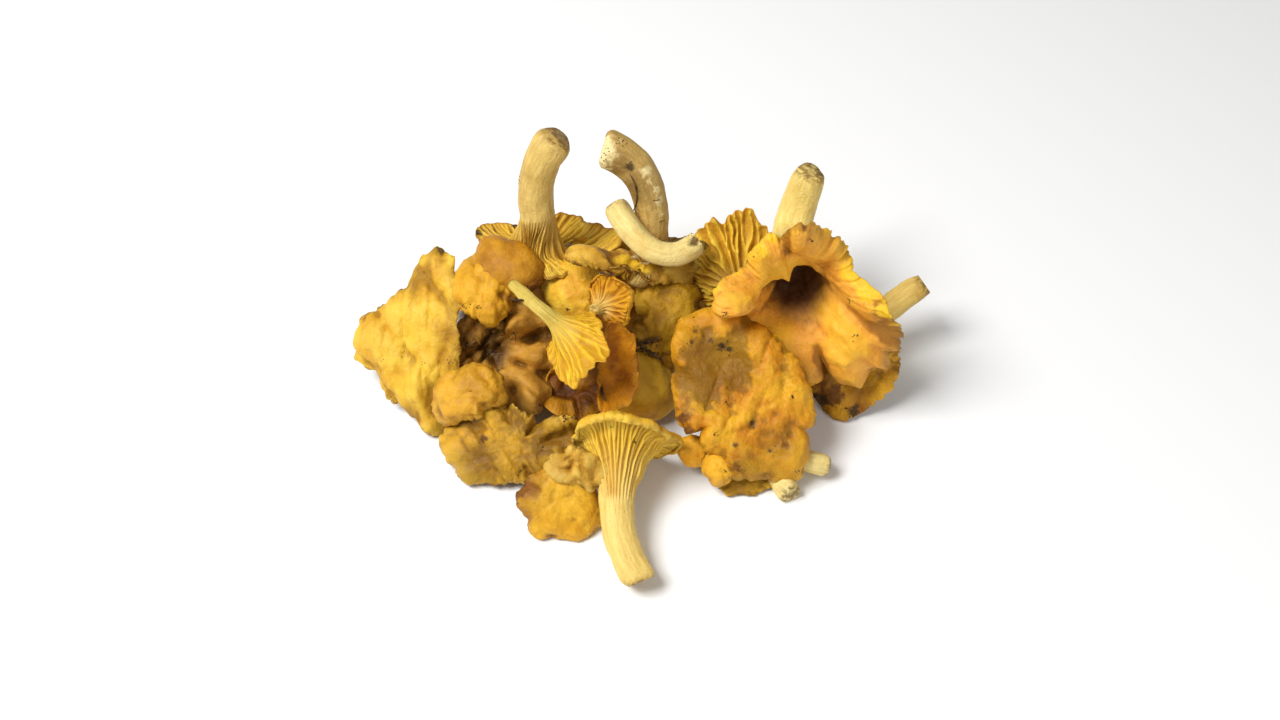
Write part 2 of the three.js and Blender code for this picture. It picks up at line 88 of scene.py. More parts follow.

# Skin tones, as sRGB. "light" and "deep" cloud the cap, "margin" is its edge and the painted highlight on
# what stands proud, and "crest" and "valley" are the ridges, painted paler on the crests and darker between
# them as painted highlight and painted shade. "valley" is also the painted shade in hollows and under shade
# marks, "stem" and "stem_deep" are the stem's fibres, and "bruise" is what is brown, and also the painted
# shade near the crown where a row gives no throat tone.
TONE_PARTS = ("light", "deep", "margin", "crest", "valley", "stem", "stem_deep", "bruise")
TONES = {
    "lemon": ("#E6BD3A", "#D4981E", "#E7C44C", "#EBBE35", "#925909", "#E8CB74", "#CDA048", "#74460F"),
    "golden": ("#DA9D19", "#BA7308", "#E1AA29", "#E5AC29", "#774008", "#E2C26A", "#BC8F36", "#5F340B"),
    "peach": ("#E39E32", "#C97811", "#E5A81B", "#E3A824", "#713A06", "#F2D880", "#D8B152", "#6E441A"),
    "orange": ("#D48A0C", "#A65C04", "#DC9A1E", "#DD9C1F", "#6C3702", "#D0A646", "#A2701C", "#522B08"),
    "ochre": ("#D29C2A", "#AA7212", "#D9A83A", "#DCA930", "#6B420A", "#D2B264", "#A2762E", "#56340C"),
    "olive": ("#C8971F", "#9E6E0C", "#CFA22D", "#C99C27", "#613F06", "#C8A856", "#9A722C", "#54360E"),
    "brown": ("#C1892F", "#8A5716", "#D39E40", "#B97F24", "#462808", "#B8924A", "#835A22", "#351C06"),
    "cream": ("#DAB54C", "#B68527", "#E1BE5A", "#DAB754", "#855818", "#EFD98E", "#D6B05A", "#5C3914"),
}

# What a row leaves out. "grid" counts the points round the stem and the rings on the stem, the
# flare, the underside and the top. "lobed" and "wavy" are natural unevenness of the cap's outline,
# as a share, and of its slope in degrees. "ragged" is the unevenness of the rim and its waves in a
# turn, "ruffle" the swing of the slope at the rim in degrees and its waves, and "frill" the height
# of fine waves at the rim and their count. "bulge" and "curl" add to the slope halfway and at the
# very rim, in degrees for even directions, and "roll" rolls the rim under. "flare" is how far the
# flesh keeps to the stem's direction before it spreads. "lumps", "crumple" and "wrinkles" are a
# height and a size in mm, "folds" a height in mm and a count, and "fibres" the height of the stem's
# fibres and of its lumps. A notch or tear is [direction, width in degrees, depth as a share], a
# crease [direction, width in degrees, rise in mm, first share, last share], a pleat [height, spacing
# in mm, direction] and a dent [direction, share, size in mm, rise in mm]. "rim" and "core" are the
# flesh's thickness in mm, "worn" is how dry the rim is, and "throat" colours the flesh near the
# crown. A mark is [direction, share, size in mm, strength]. It lies on the top unless the name of
# its kind ends in stem or under.
# The "throat" paints shade near the crown wherever its tone is dark.
PLAIN_CAP = dict(
    grid=(92, 6, 5, 12, 28), stem=dict(top=4, base=4, length=8), lobed=0.02, wavy=5, turn=(0,),
    bulge=(0,), curl=(0,), roll=0, flare=1.0, notches=(), tears=(), ragged=(0.03, 22), ruffle=(12, 12),
    frill=(0.2, 60), rim=1.6, core=4.2, ridges=None, lumps=(0.7, 8), folds=(0.5, 9),
    wrinkles=(0.34, 2.8), fibres=(0.06, 0.4), pleats=(), crumple=(0.2, 7), creases=(), dents=(),
    worn=0.5, bruise=0.25, dirt=0.5, throat=0.0, tones={}, marks={},
)

# What a row's stem and ridges leave out. "uneven" is the stem's unevenness as a share. Ridges start
# a share of the stem's length "down" from its top, rise over the share "ease" of their way, waver by
# the share "weave" of their spacing, and "width" and "height" are in mm.
PLAIN_STEM = dict(lean=(0, 0, 0), uneven=0.05, slant=(0, 0))
PLAIN_RIDGES = dict(down=0.2, ease=0.3, weave=0.5, forks=2)

# One row for each mushroom, measured in mm and degrees. "at" is its crown and "faces" the azimuth
# and elevation that its cap looks to. "slope" is the cap's rise at the crown, halfway and at the
# rim. "reach" is the length of flesh from crown to rim in even directions, from the lowest one on,
# anticlockwise seen from above the cap, and "turn" what is added there to the slope at the rim. A
# stem starts at its "neck", that far under the crown, and ends at its "foot", or after its "length"
# straight down. "top" and "base" are its radii, "bow" is how far it runs straight, "lean" where it
# is pulled to, and "slant" the tilt and the direction of its cut. "count" is the ridges at the stem.

# Mushrooms that show their ridged undersides.
RIDGED = (
    dict(
        name="front_ridged", seed=1, skin="lemon", at=(-9, -44, 18), faces=(90, 19), slope=(66, 78, -30),
        reach=(34, 33, 26, 24, 28, 36, 38, 36, 35, 37, 34, 36),
        turn=(0, 0, 8, 14, 14, 8, 2, -6, -8, -10, -8, -2), roll=130, ragged=(0.012, 16), ruffle=(8, 6),
        rim=2.4, stem=dict(top=6.6, base=6.1, bow=18, foot=(0, -86, 7), slant=(24, 200)),
        grid=(420, 30, 20, 50, 18), ridges=dict(count=33, width=0.5, height=1.5, down=0.07, ease=0.25,
        # its crest tone is raised, a painted light for ridges that face away from the main light
        weave=0.3), folds=(0.8, 6), tones=dict(crest="#F6CF48", valley="#AE7A18", deep="#DCA428"),
    ),
    dict(
        name="funnel", seed=2, skin="peach", at=(61, 34, 54), faces=(-93, 17), slope=(58, 40, -5), wavy=8,
        reach=(62, 66, 62, 54, 35, 41, 51, 43, 41, 62, 38, 50),
        turn=(-25, -22, -8, 10, 14, 17, 14, 20, 18, 10, -8, -20),
        bulge=(16, 16, 15, 16, 24, 28, 25, 28, 35, 45, 34, 16), curl=(-60, -60, -45, -5, -40, -75, -25, -75,
        -90, -120, -80, -80), notches=((8, 3, 0.16), (194, 5, 0.12)),
        tears=((24, 2.2, 0.34), (340, 3, 0.1)), ragged=(0.03, 60), ruffle=(30, 20), frill=(0.7, 90),
        core=6.5, stem=dict(top=8, base=7, bow=18, foot=(70, 70, 72), uneven=0.14),
        grid=(390, 22, 12, 18, 78), ridges=dict(count=26, width=0.6, height=1.1), lumps=(1, 11),
        folds=(1.8, 7), creases=((24, 5, -2.5, 0.45, 1), (0, 6, -1.6, 0.5, 1),
        (190, 5, -3, 0.45, 1), (72, 7, -3, 0.45, 1)), dents=((342, 0.64, 9, 5), (200, 0.42, 7, 8),
        # throat=1 with its near-black throat tone paints the shade deep in the funnel's throat
        (50, 0.62, 12, 3)), throat=1, tones=dict(margin="#F2C129", light="#EFAE42", deep="#DC942E",
        throat="#4E2C0E"), marks=dict(pale=((104, 0.97, 6, 1), (118, 0.97, 5, 1), (92, 0.97, 6, 1),
        (80, 0.98, 5, 0.9), (200, 0.97, 4, 0.8), (214, 0.96, 4, 0.8)), brown=((176, 0.99, 3, 0.7),)),
    ),
    dict(
        name="back_ridged", seed=20, skin="lemon", at=(41, 25, 48), faces=(87, -13), slope=(40, 26, 5),
        lobed=0.04, wavy=8, reach=(12, 17, 25, 31, 33, 22, 12, 10), ragged=(0.1, 30), ruffle=(14, 12),
        rim=1.2, stem=dict(top=4.4, base=4.4, length=3), grid=(380, 4, 10, 50, 10), ridges=dict(count=24,
        width=0.6, height=2.6, down=0.5, forks=1), tones=dict(valley="#BC8820", crest="#FBD648",
        light="#F2C640", margin="#F6D24C"),
    ),
    dict(
        name="trumpet", seed=12, skin="lemon", at=(-31, 0, 56), faces=(-18, -41), slope=(66, 50, 10),
        lobed=0.05, wavy=10, reach=(16, 14, 13, 14, 17, 27, 27, 17), turn=(0, 0, 0, 0, 6, 19, 5, 0),
        ragged=(0.05, 26), ruffle=(24, 10), frill=(0.6, 50),
        stem=dict(top=3, base=2.3, bow=8, foot=(-51, 22, 56)), grid=(240, 20, 12, 34, 16),
        ridges=dict(count=12, width=0.45, height=0.6), folds=(1.2, 6),
        tones=dict(valley="#C28F1B", crest="#FBCF2F", stem="#D2B858", stem_deep="#A88C38"),
    ),
    dict(
        name="small_fan", seed=13, skin="golden", at=(-15, 12, 54), faces=(50, -18), slope=(34, 12, -15),
        lobed=0.05, wavy=8, reach=(8, 6, 7, 12, 18, 19, 16, 12), roll=130, ruffle=(12, 10), rim=2,
        stem=dict(top=2.6, base=2.6, length=6), grid=(200, 4, 8, 26, 10),
        ridges=dict(count=16, width=0.45, height=1, down=0.5),
        tones=dict(valley="#9E5F0A", crest="#EBAE25"),
    ),
    dict(
        name="upside_down", seed=9, skin="lemon", at=(-45, 43, 52), faces=(-128, -71), slope=(34, 16, -8),
        lobed=0.05, wavy=10, reach=(36, 43, 21, 9, 8, 17, 28, 18),
        turn=(-60, -55, -20, 10, 0, -10, -14, -30), flare=0.35, ragged=(0.04, 34), ruffle=(22, 14),
        stem=dict(top=7, base=7.4, bow=20, neck=19, lean=(-6, 0, 0), foot=(-32, 56, 103)),
        grid=(380, 24, 24, 36, 8), ridges=dict(count=30, width=0.5, height=1.7, down=0.06, weave=0.35),
        # its stem tones are darker than the lemon stem's, painted shade for a stem that lies less lit
        tones=dict(valley="#8E5E0E", crest="#FAD24A", stem="#D8B868", stem_deep="#B28E40"),
        marks=dict(dark_under=((236, 0.98, 3, 0.9), (262, 0.98, 2.5, 0.9), (300, 0.98, 2.5, 0.8)),
        brown_under=((222, 0.95, 5, 0.8),), shade_under=((236, 0.8, 8, 0.6),),
        shade_stem=((250, 0.5, 7, 0.5),)),
    ),
    dict(
        name="back_middle", seed=33, skin="golden", at=(-18, 52, 22), faces=(-96, 22), slope=(40, 22, -15),
        lobed=0.06, wavy=12, reach=(27, 26, 28, 27, 26, 28, 26, 25), ragged=(0.03, 24), ruffle=(20, 10),
        stem=dict(top=7, base=6, length=34), grid=(200, 12, 8, 22, 10),
        ridges=dict(count=20, width=0.6, height=1.1),
    ),
)

# Broad caps.
BROAD = (
    dict(
        name="right_broad", seed=3, skin="golden", at=(38, -18, 32), faces=(-81, 49), slope=(14, 8, -16),
        lobed=0, wavy=6, reach=(34, 41, 35, 32, 30, 33, 40, 41, 31, 28, 25, 25),
        turn=(-5, 0, 0, 0, 6, 4, -11, -30, -32, -24, -13, -9), roll=50,
        tears=((60, 2, 0.1), (305, 3, 0.16)), ragged=(0.016, 40), ruffle=(12, 9),
        stem=dict(top=7, base=6.5, length=20), grid=(230, 6, 6, 12, 74), lumps=(0.9, 11), folds=(0.9, 14),
        wrinkles=(0.5, 2.4), pleats=((0.5, 6, 60),), crumple=(0.6, 11), creases=((305, 5, -2.4, 0.55, 1),
        (60, 4, -1.2, 0.75, 1), (35, 12, 1.2, 0.5, 1)),
        dents=((222, 0.4, 11, -3.5), (178, 0.45, 9, -2)), worn=0.8,
        # its valley tone is darkened for the painted shade of its hollows and shade marks
        tones=dict(light="#DFA521", deep="#C67E14", valley="#6A480C"),
        marks=dict(dark=((188, 0.58, 2.2, 0.8), (196, 0.64, 1.6, 0.8), (204, 0.8, 1.6, 0.7),
        (211, 0.72, 2, 0.6), (180, 0.52, 1.8, 0.7), (28, 0.26, 2, 0.8), (351, 0.58, 1.6, 0.8),
        (27, 0.6, 1, 0.7)), shade=((205, 0.66, 9, 0.6), (230, 0.53, 8, 0.55), (222, 0.25, 8, 0.5),
        (36, 0.64, 8, 0.7), (0, 0.82, 9, 0.7), (18, 0.84, 8, 0.6), (160, 0.35, 7, 0.5), (262, 0.5, 7, 0.5),
        (10, 0.9, 8, 0.5)), brown=((40, 0.68, 3, 0.5), (352, 0.86, 4, 0.6), (266, 0.06, 2.6, 0.7),
        (282, 0.88, 4, 0.8), (297, 0.95, 4, 0.9))),
    ),
    dict(
        name="left_broad", seed=4, skin="lemon", at=(-95, 16, 30), faces=(-114, 51), slope=(6, 0, -20),
        lobed=0, reach=(31, 49, 33, 24, 22, 29, 41, 22, 20, 27, 30, 24),
        turn=(-15, -16, -8, 18, 25, 23, 9, -2, -8, -16, -19, -19), roll=45, tears=((20, 3, 0.14),),
        ragged=(0.035, 46), ruffle=(14, 8), stem=dict(top=7, base=6.5, length=22), grid=(230, 6, 6, 12, 74),
        lumps=(1, 13), folds=(1, 6), pleats=((0.9, 9, 150), (0.4, 4, 110)), crumple=(0.4, 10),
        creases=((20, 8, -2.5, 0.5, 1), (38, 6, -1.8, 0.45, 0.95), (52, 7, 1.8, 0.4, 0.9),
        (185, 12, -2, 0.5, 1)), dents=((52, 0.66, 5, -2.5), (30, 0.8, 5, 2.5), (62, 0.85, 4, 2)),
        worn=0.9, bruise=0.1, tones=dict(light="#E1B738", deep="#CD9722", margin="#E6C34C",
        valley="#8B5C0F"), marks=dict(shade=((112, 0.9, 6, 0.8), (140, 0.95, 5, 0.7), (192, 0.7, 6, 0.4),
        (20, 0.8, 5, 0.6), (52, 0.75, 4, 0.7), (80, 0.8, 4, 0.5)), brown=((95, 0.92, 2, 0.7),
        (215, 0.98, 3, 0.8), (262, 0.98, 4, 0.8), (245, 0.98, 2.5, 0.8), (25, 0.98, 5, 0.9)),
        dark=((178, 0.98, 3, 0.8),)),
    ),
    dict(
        name="hollow_brown", seed=5, skin="brown", at=(-64, 18, 20), faces=(-85, 56), slope=(30, 50, -20),
        lobed=0.08, wavy=16, reach=(24, 33, 36, 34, 23, 16, 14, 16), turn=(-20, -10, 0, -19, 10, 20, 0, 0),
        ragged=(0.06, 18), ruffle=(46, 8), stem=dict(top=5, base=5, length=12), grid=(200, 4, 6, 12, 64),
        lumps=(0.8, 6), folds=(1.2, 5), pleats=((1.2, 6, 40),), crumple=(1.7, 8),
        creases=((62, 6, -4, 0.3, 1), (100, 6, -4, 0.3, 0.95), (30, 6, -3.5, 0.4, 1),
        (82, 4, -1.5, 0.5, 1)), dents=((124, 0.6, 7, 6), (73, 0.68, 6, 6), (42, 0.8, 6, 5),
        (10, 0.68, 5, 4), (98, 0.65, 3, -3.5)), worn=0.9, bruise=0.35, dirt=0.9, throat=0.9,
        marks=dict(dark=((150, 0.5, 4, 0.9), (100, 0.2, 2.5, 0.9)), pale=((145, 0.35, 3, 0.8),),
        shade=((250, 0.7, 9, 0.9),)),
    ),
    dict(
        name="rolled_edge", seed=10, skin="ochre", at=(2, 32, 58), faces=(36, 61), slope=(6, 0, -30),
        lobed=0.03, wavy=6, reach=(16, 22, 22, 8, 15, 36, 14, 11, 12, 12, 13, 15),
        turn=(10, 40, 45, 20, 12, 2, -18, -50, -59, -40, -32, -20), roll=90, ragged=(0.02, 14),
        ruffle=(12, 9), rim=2.4, stem=dict(top=5, base=5, length=10), grid=(220, 4, 6, 20, 44),
        ridges=dict(count=24, width=0.5, height=1.3, down=0.5), folds=(0.8, 7), crumple=(0.5, 6),
        dents=((140, 0.5, 5, -2.5), (165, 0.5, 5, -3), (190, 0.5, 5, -3), (215, 0.5, 5, -3),
        (240, 0.5, 5, -2.5)), worn=1, throat=0.95,
        tones=dict(throat="#E2B52A", light="#DDB042", deep="#C28E2C"),
    ),
    dict(
        name="under_funnel", seed=21, skin="golden", at=(86, 14, 22.5), faces=(-106, 22), slope=(30, 18, 0),
        lobed=0.04, wavy=8, reach=(27, 24, 22, 20, 18, 16, 19, 22), ragged=(0.07, 26), ruffle=(26, 11),
        frill=(0.6, 60), stem=dict(top=6, base=5.5, bow=16, foot=(120, 46, 30)), grid=(220, 20, 8, 14, 36),
        folds=(1.6, 9), throat=0.95, tones=dict(light="#DDA51E", deep="#BC8212"),
        marks=dict(dark=((340, 0.95, 5, 0.9), (16, 0.92, 3.5, 0.9)),
        shade=((320, 0.8, 10, 1), (20, 0.7, 8, 0.8)), brown=((350, 0.7, 7, 0.9),)),
    ),
    dict(
        name="lower_left", seed=25, skin="ochre", at=(-49, -30, 16.5), faces=(-100, 55), slope=(8, 0, -25),
        lobed=0, wavy=6, reach=(16, 15, 21, 24, 27, 14, 15, 21, 26, 36, 29, 20),
        turn=(-30, -9, 3, 19, 24, 26, 30, 17, 7, -9, -24, -29), roll=30, ragged=(0.06, 40), ruffle=(26, 9),
        frill=(0.7, 50), stem=dict(top=6, base=5, length=10), grid=(220, 4, 6, 14, 60), lumps=(0.5, 14),
        folds=(0.6, 6), pleats=((1.2, 12, 135), (0.4, 3.2, 130)), crumple=(0.15, 10),
        creases=((112, 8, -3.5, 0.3, 1), (150, 7, -3, 0.35, 1), (78, 9, 2, 0.4, 1),
        (205, 8, -2.4, 0.4, 1), (250, 8, -2.4, 0.4, 1), (35, 7, -2, 0.4, 1)), worn=1,
        tones=dict(light="#CF9A22", deep="#A27A1C", margin="#DFB23A"),
        marks=dict(shade=((300, 0.6, 9, 0.7), (40, 0.6, 8, 0.5)), brown=((262, 0.4, 2.5, 0.8),),
        pale=((215, 0.95, 6, 0.7),), dark=((60, 0.95, 3, 0.8),)),
    ),
    dict(
        name="back_left", seed=32, skin="golden", at=(-62, 60, 23), faces=(118, 24), slope=(20, 5, -30),
        lobed=0.06, wavy=12, reach=(26, 28, 27, 25, 26, 25, 27, 28), roll=40, ruffle=(14, 7),
        stem=dict(top=7, base=6, length=24), grid=(150, 10, 6, 14, 36), folds=(1, 7),
    ),
    dict(
        name="back_right", seed=34, skin="golden", at=(30, 58, 22), faces=(66, 34), slope=(22, 6, -30),
        lobed=0.06, wavy=12, reach=(26, 26, 24, 25, 26, 27, 25, 26), roll=40, ruffle=(14, 7),
        stem=dict(top=7, base=6, length=24), grid=(150, 10, 6, 14, 36), folds=(1, 7),
    ),
)

# Small caps and buttons.
SMALL = (
    dict(
        name="frayed_cap", seed=29, skin="cream", at=(15, 30, 57), faces=(-84, 19), slope=(0, -20, -60),
        lobed=0.04, wavy=8, reach=(11, 14, 10, 7, 6, 7, 8, 13), ragged=(0.09, 26), ruffle=(22, 9),
        stem=dict(top=2.4, base=2.4, length=7), folds=(1.3, 9),
    ),
    dict(
        name="left_back", seed=8, skin="orange", at=(-54, 30, 59), faces=(-103, 64), slope=(0, -15, -70),
        reach=(12, 18, 20, 16, 17, 21, 17, 12), turn=(-13, -19, -16, -2, 0, 9, 19, 3), roll=20,
        ragged=(0.01, 12), ruffle=(6, 5), stem=dict(top=4, base=3.6, length=8), lumps=(0.4, 9),
        folds=(0.6, 4), wrinkles=(0.12, 3), tones=dict(light="#C98F20", deep="#AC7212"),
        marks=dict(shade=((80, 0.95, 8, 1), (45, 0.9, 7, 1)), brown=((62, 1, 7, 0.9),)),
    ),
    dict(
        name="left_lobe", seed=6, skin="golden", at=(-61, 23, 52), faces=(-96, 62), slope=(0, -20, -75),
        reach=(17, 17, 15, 15, 20, 24, 23, 17), turn=(-20, -10, -10, 0, 19, 0, 0, -10), roll=15,
        ragged=(0.04, 36), ruffle=(10, 5), frill=(0.5, 60), stem=dict(top=5, base=4.5, length=8),
        lumps=(0.3, 10), folds=(1, 6), pleats=((0.8, 2.8, 90),),
        creases=((75, 14, -1.8, 0.2, 1), (175, 10, 1.2, 0.5, 1)), worn=1,
        tones=dict(light="#E1A829", deep="#C58B17"),
    ),
    dict(
        name="small_band", seed=7, skin="ochre", at=(-67, -15, 33), faces=(-105, 55), slope=(0, -18, -75),
        lobed=0, wavy=4, reach=(13, 10, 16, 16, 16, 16, 25, 27), turn=(7, 10, 2, 0, 0, 0, -17, -12),
        roll=25, ragged=(0.05, 40), ruffle=(8, 5), frill=(0.5, 40), stem=dict(top=4, base=3.6, length=8),
        folds=(0.9, 5), crumple=(0.5, 8), creases=((30, 10, 2, 0.5, 1),), worn=1,
        tones=dict(light="#D9A22C", deep="#B57D17"),
    ),
    dict(
        name="pale_button", seed=11, skin="lemon", at=(-25, 25, 50), faces=(-101, 58), slope=(0, -20, -80),
        reach=(17, 18, 16, 16, 19, 22, 21, 17), roll=25, ragged=(0.02, 20), ruffle=(8, 5),
        stem=dict(top=4.4, base=4, length=8), lumps=(0.4, 5), folds=(0.7, 8), crumple=(0.4, 6),
        creases=((70, 9, -1.6, 0.4, 1), (100, 8, -1.2, 0.4, 1)), worn=0.9, tones=dict(valley="#8B6618"),
    ),
    dict(
        name="torn_mid", seed=16, skin="olive", at=(11, 20, 44), faces=(-85, 56), slope=(4, -8, -45),
        wavy=6, reach=(22, 16, 17, 16, 15, 16, 12, 19), turn=(-20, -10, -10, 0, 0, 0, 20, 19),
        ragged=(0.08, 30), ruffle=(14, 7), folds=(0.7, 4), crumple=(0.6, 7),
        creases=((262, 10, 3, 0.55, 1), (285, 8, -2, 0.5, 1)), worn=0.9,
        tones=dict(light="#CFA026", deep="#A57512"),
        marks=dict(pale=((262, 1, 4.5, 1), (225, 0.95, 4, 0.9)), dark=((320, 1, 3.5, 0.9),)),
    ),
    dict(
        name="tall_fold", seed=14, skin="orange", at=(-9, -5, 37), faces=(-78, 44), slope=(8, 30, 30),
        lobed=0, wavy=3, reach=(17, 12, 9, 8, 9, 15, 20, 13, 8, 8, 11, 21),
        turn=(-1, -6, -6, 0, 0, 0, 0, 0, -2, -6, 0, 9), ragged=(0.008, 12), ruffle=(5, 4), rim=1.3,
        core=3.2, stem=dict(top=3.5, base=3.5, length=8), lumps=(0.4, 9), folds=(0.5, 4),
    ),
    dict(
        name="olive_dome", seed=15, skin="olive", at=(1, -2, 25), faces=(-73, 49), slope=(0, -18, -78),
        lobed=0, wavy=4, reach=(24, 25, 18, 17, 17, 16, 19, 24), roll=25, ragged=(0.01, 10),
        ruffle=(5, 4), stem=dict(top=5, base=5, length=10), lumps=(0.5, 10), folds=(0.8, 3),
        # its tones are brightened, a painted light for a cap that lies in the shade of the caps round it
        wrinkles=(0.2, 3), tones=dict(light="#F0C23C", deep="#D6A026"),
    ),
    dict(
        name="olive_low", seed=17, skin="olive", at=(8, 12, 30), faces=(-90, 53), slope=(0, -14, -60),
        reach=(14, 15, 16, 15, 15, 14, 14, 14), roll=20, ragged=(0.02, 14), ruffle=(8, 5), folds=(1.4, 5),
    ),
    dict(
        name="button_a", seed=22, skin="ochre", at=(21, -29, 16), faces=(-102, 61), slope=(0, -28, -95),
        lobed=0, wavy=3, reach=(12, 11, 10, 9, 8.5, 9, 9, 10.5), roll=30, ragged=(0.01, 9), ruffle=(5, 4),
        stem=dict(top=2.6, base=2.6, length=10), lumps=(0.5, 6), folds=(0.5, 3), bruise=0.1,
        # its tones are brightened, a painted light for a button that lies in the shadow of right_broad
        tones=dict(light="#F0B228", deep="#DC981C", margin="#F2BE40"),
    ),
    dict(
        name="button_b", seed=23, skin="ochre", at=(31, -38, 16), faces=(-90, 61), slope=(0, -28, -95),
        lobed=0, wavy=3, reach=(12, 11, 10, 10, 9.5, 9, 9, 10), roll=30, ragged=(0.01, 9), ruffle=(5, 4),
        stem=dict(top=2.6, base=2.6, length=10), lumps=(0.5, 6), folds=(0.6, 3), bruise=0.1,
        tones=dict(light="#EAAE2A", deep="#D2921E", margin="#F0BC40"),
    ),
    dict(
        name="under_right", seed=24, skin="olive", at=(41, -36, 5), faces=(-90, 61), slope=(0, 0, -15),
        lobed=0.03, wavy=4, reach=(8, 10, 14, 13, 10, 12, 12, 10), roll=20, ruffle=(8, 5),
        stem=dict(top=3, base=3, length=6),
    ),
    dict(
        name="lower_scrap", seed=27, skin="cream", at=(-24, -46, 28), faces=(-100, 55), slope=(0, -20, -70),
        lobed=0.04, wavy=8, reach=(10, 14, 12, 8, 7, 8, 14, 12), ragged=(0.06, 24), ruffle=(14, 5),
        frill=(0.5, 30), stem=dict(top=2.4, base=2.4, length=7), lumps=(0.8, 4), folds=(0.8, 5),
        pleats=((0.9, 4, 110),), crumple=(1.2, 5), worn=1, tones=dict(light="#D1A038", deep="#A77821"),
    ),
    dict(
        name="lower_dome", seed=26, skin="golden", at=(-31, -55, 16), faces=(-86, 44), slope=(6, -10, -66),
        reach=(26, 24, 23, 19, 16, 15, 16, 15, 17, 20, 18, 25),
        turn=(-12, 0, 0, -4, 0, 0, 4, 20, 10, 14, 20, -6), roll=20, ragged=(0.05, 40), ruffle=(10, 7),
        stem=dict(top=5, base=4.5, length=8), grid=(140, 6, 5, 12, 44), lumps=(0.6, 9), folds=(0.4, 4),
        pleats=((0.25, 6, 60),), crumple=(0.2, 9), creases=((250, 14, -2.2, 0.4, 1),
        (345, 8, -1.6, 0.5, 1), (20, 12, 1.2, 0.4, 1)), worn=0.9,
        tones=dict(light="#E4B02E", deep="#D2981C"),
        marks=dict(shade=((245, 0.95, 9, 1), (285, 0.9, 6, 0.9)), brown=((262, 1, 5, 0.9),),
        dark=((225, 1, 3, 0.8),)),
    ),
    dict(
        name="core_orange", seed=28, skin="orange", at=(-31, 4, 14), faces=(-90, 56), slope=(40, 30, 0),
        lobed=0.05, wavy=10, reach=(15, 19, 18, 20, 20, 9, 7, 12), ruffle=(26, 6), folds=(1.6, 5),
        crumple=(1.6, 8), throat=0.9, tones=dict(light="#7E480A", deep="#4C2703"),
    ),
)

# Mushrooms of which mostly the stem shows.
STEMS = (
    dict(
        name="curled_stem", seed=18, skin="cream", at=(23, 32, 71), faces=(61, 42), slope=(0, -12, -40),
        lobed=0.06, wavy=8, reach=(5,), stem=dict(top=4.7, base=5, bow=22, lean=(-9, 0, 10),
        foot=(-10, 41, 82)), grid=(90, 60, 8, 10, 8), fibres=(0.05, 0.2), bruise=0.5,
        marks=dict(brown_stem=((0, 0, 5, 0.9), (180, 0.05, 3, 0.9)), brown=((0, 0.5, 6, 1),)),
    ),
    dict(
        name="brown_stem", seed=19, skin="ochre", at=(6, 36, 60), faces=(-57, -57), slope=(30, 10, -30),
        lobed=0.06, wavy=12, reach=(16, 16, 15, 14, 10, 9, 9, 14), stem=dict(top=6.4, base=7.6, bow=28,
        lean=(10, 0, 8), foot=(-14, 56, 98)), grid=(130, 60, 10, 12, 8),
        ridges=dict(count=14, width=0.6, height=0.9, down=0.15), lumps=(0.5, 6), bruise=0.5, dirt=0.9,
        # its darker stem tones and its shade marks are painted shade, for a stem that lies largely in shade
        tones=dict(stem="#CDAA60", stem_deep="#96702E", margin="#F0DCA0", valley="#6A4A18"),
        marks=dict(shade_stem=((252, 0.5, 9, 1), (240, 0.78, 8, 1)), pale_stem=((180, 0.56, 3.4, 0.62),
        (177, 0.48, 3.4, 0.62), (175, 0.4, 3.4, 0.62), (174, 0.32, 3.2, 0.62), (174, 0.24, 3, 0.6),
        (225, 1, 7, 1), (200, 0.99, 6, 1)), dark_stem=((212, 0.7, 2, 0.9),)),
    ),
    dict(
        name="stub_right", seed=30, skin="cream", at=(58, -30, 12), faces=(176, 18), slope=(0, -10, -30),
        lobed=0.03, wavy=4, reach=(5,), stem=dict(top=4, base=4.4, bow=6, foot=(75, -31, 6)),
        grid=(80, 24, 5, 8, 10),
    ),
    dict(
        name="stub_front", seed=31, skin="cream", at=(50, -29, 8.5), faces=(146, 40), slope=(0, -10, -30),
        lobed=0.03, wavy=4, reach=(5,), stem=dict(top=4.6, base=5, bow=6, foot=(60, -44, 4.5)),
        grid=(80, 24, 5, 8, 10),
    ),
)


# ---- Numbers that stay the same at each run ----


def share(seed, n):
    """The n-th fixed random share, from 0 to 1, of the mushroom with this seed."""
    x = math.sin(seed * 12.9898 + n * 78.233) * 43758.5453
    return x - math.floor(x)


def lattice(x, y, z, seed):
    """A fixed value from -1 to 1 at each corner of a lattice of whole numbers."""
    h = np.sin(x * 127.1 + y * 311.7 + z * 74.7 + seed * 19.19) * 43758.5453
    return 2.0 * (h - np.floor(h)) - 1.0


def noise(points, seed):
    """Smooth unevenness from -1 to 1: each point blends the eight lattice values round it, eased by
    6w^5 - 15w^4 + 10w^3 along each axis."""
    cell = np.floor(points)
    part = points - cell
    ease = part * part * part * (part * (part * 6 - 15) + 10)
    total = np.zeros(points.shape[:-1])
    for corner in np.ndindex(2, 2, 2):
        weight = np.prod(np.where(np.array(corner) == 1, ease, 1 - ease), axis=-1)
        at = cell + corner
        total += weight * lattice(at[..., 0], at[..., 1], at[..., 2], seed)
    return total


def rough(points, seed, octaves=3):
    """Noise added to itself at twice the fineness and half the size, once for each octave."""
    return sum(noise(points * 2**k + 7.3 * k, seed + k) / 2**k for k in range(octaves))


def smooth_step(low, high, x):
    """0 below low, 1 above high and an eased rise in between."""
    t = np.clip((x - low) / (high - low), 0, 1)
    return t * t * (3 - 2 * t)


def on_ring(angle, radius, level):
    """Points at these angles on rings of this radius at this level."""
    x, y, z = np.broadcast_arrays(np.cos(angle) * radius, np.sin(angle) * radius, level)
    return np.stack([x, y, z], axis=-1)


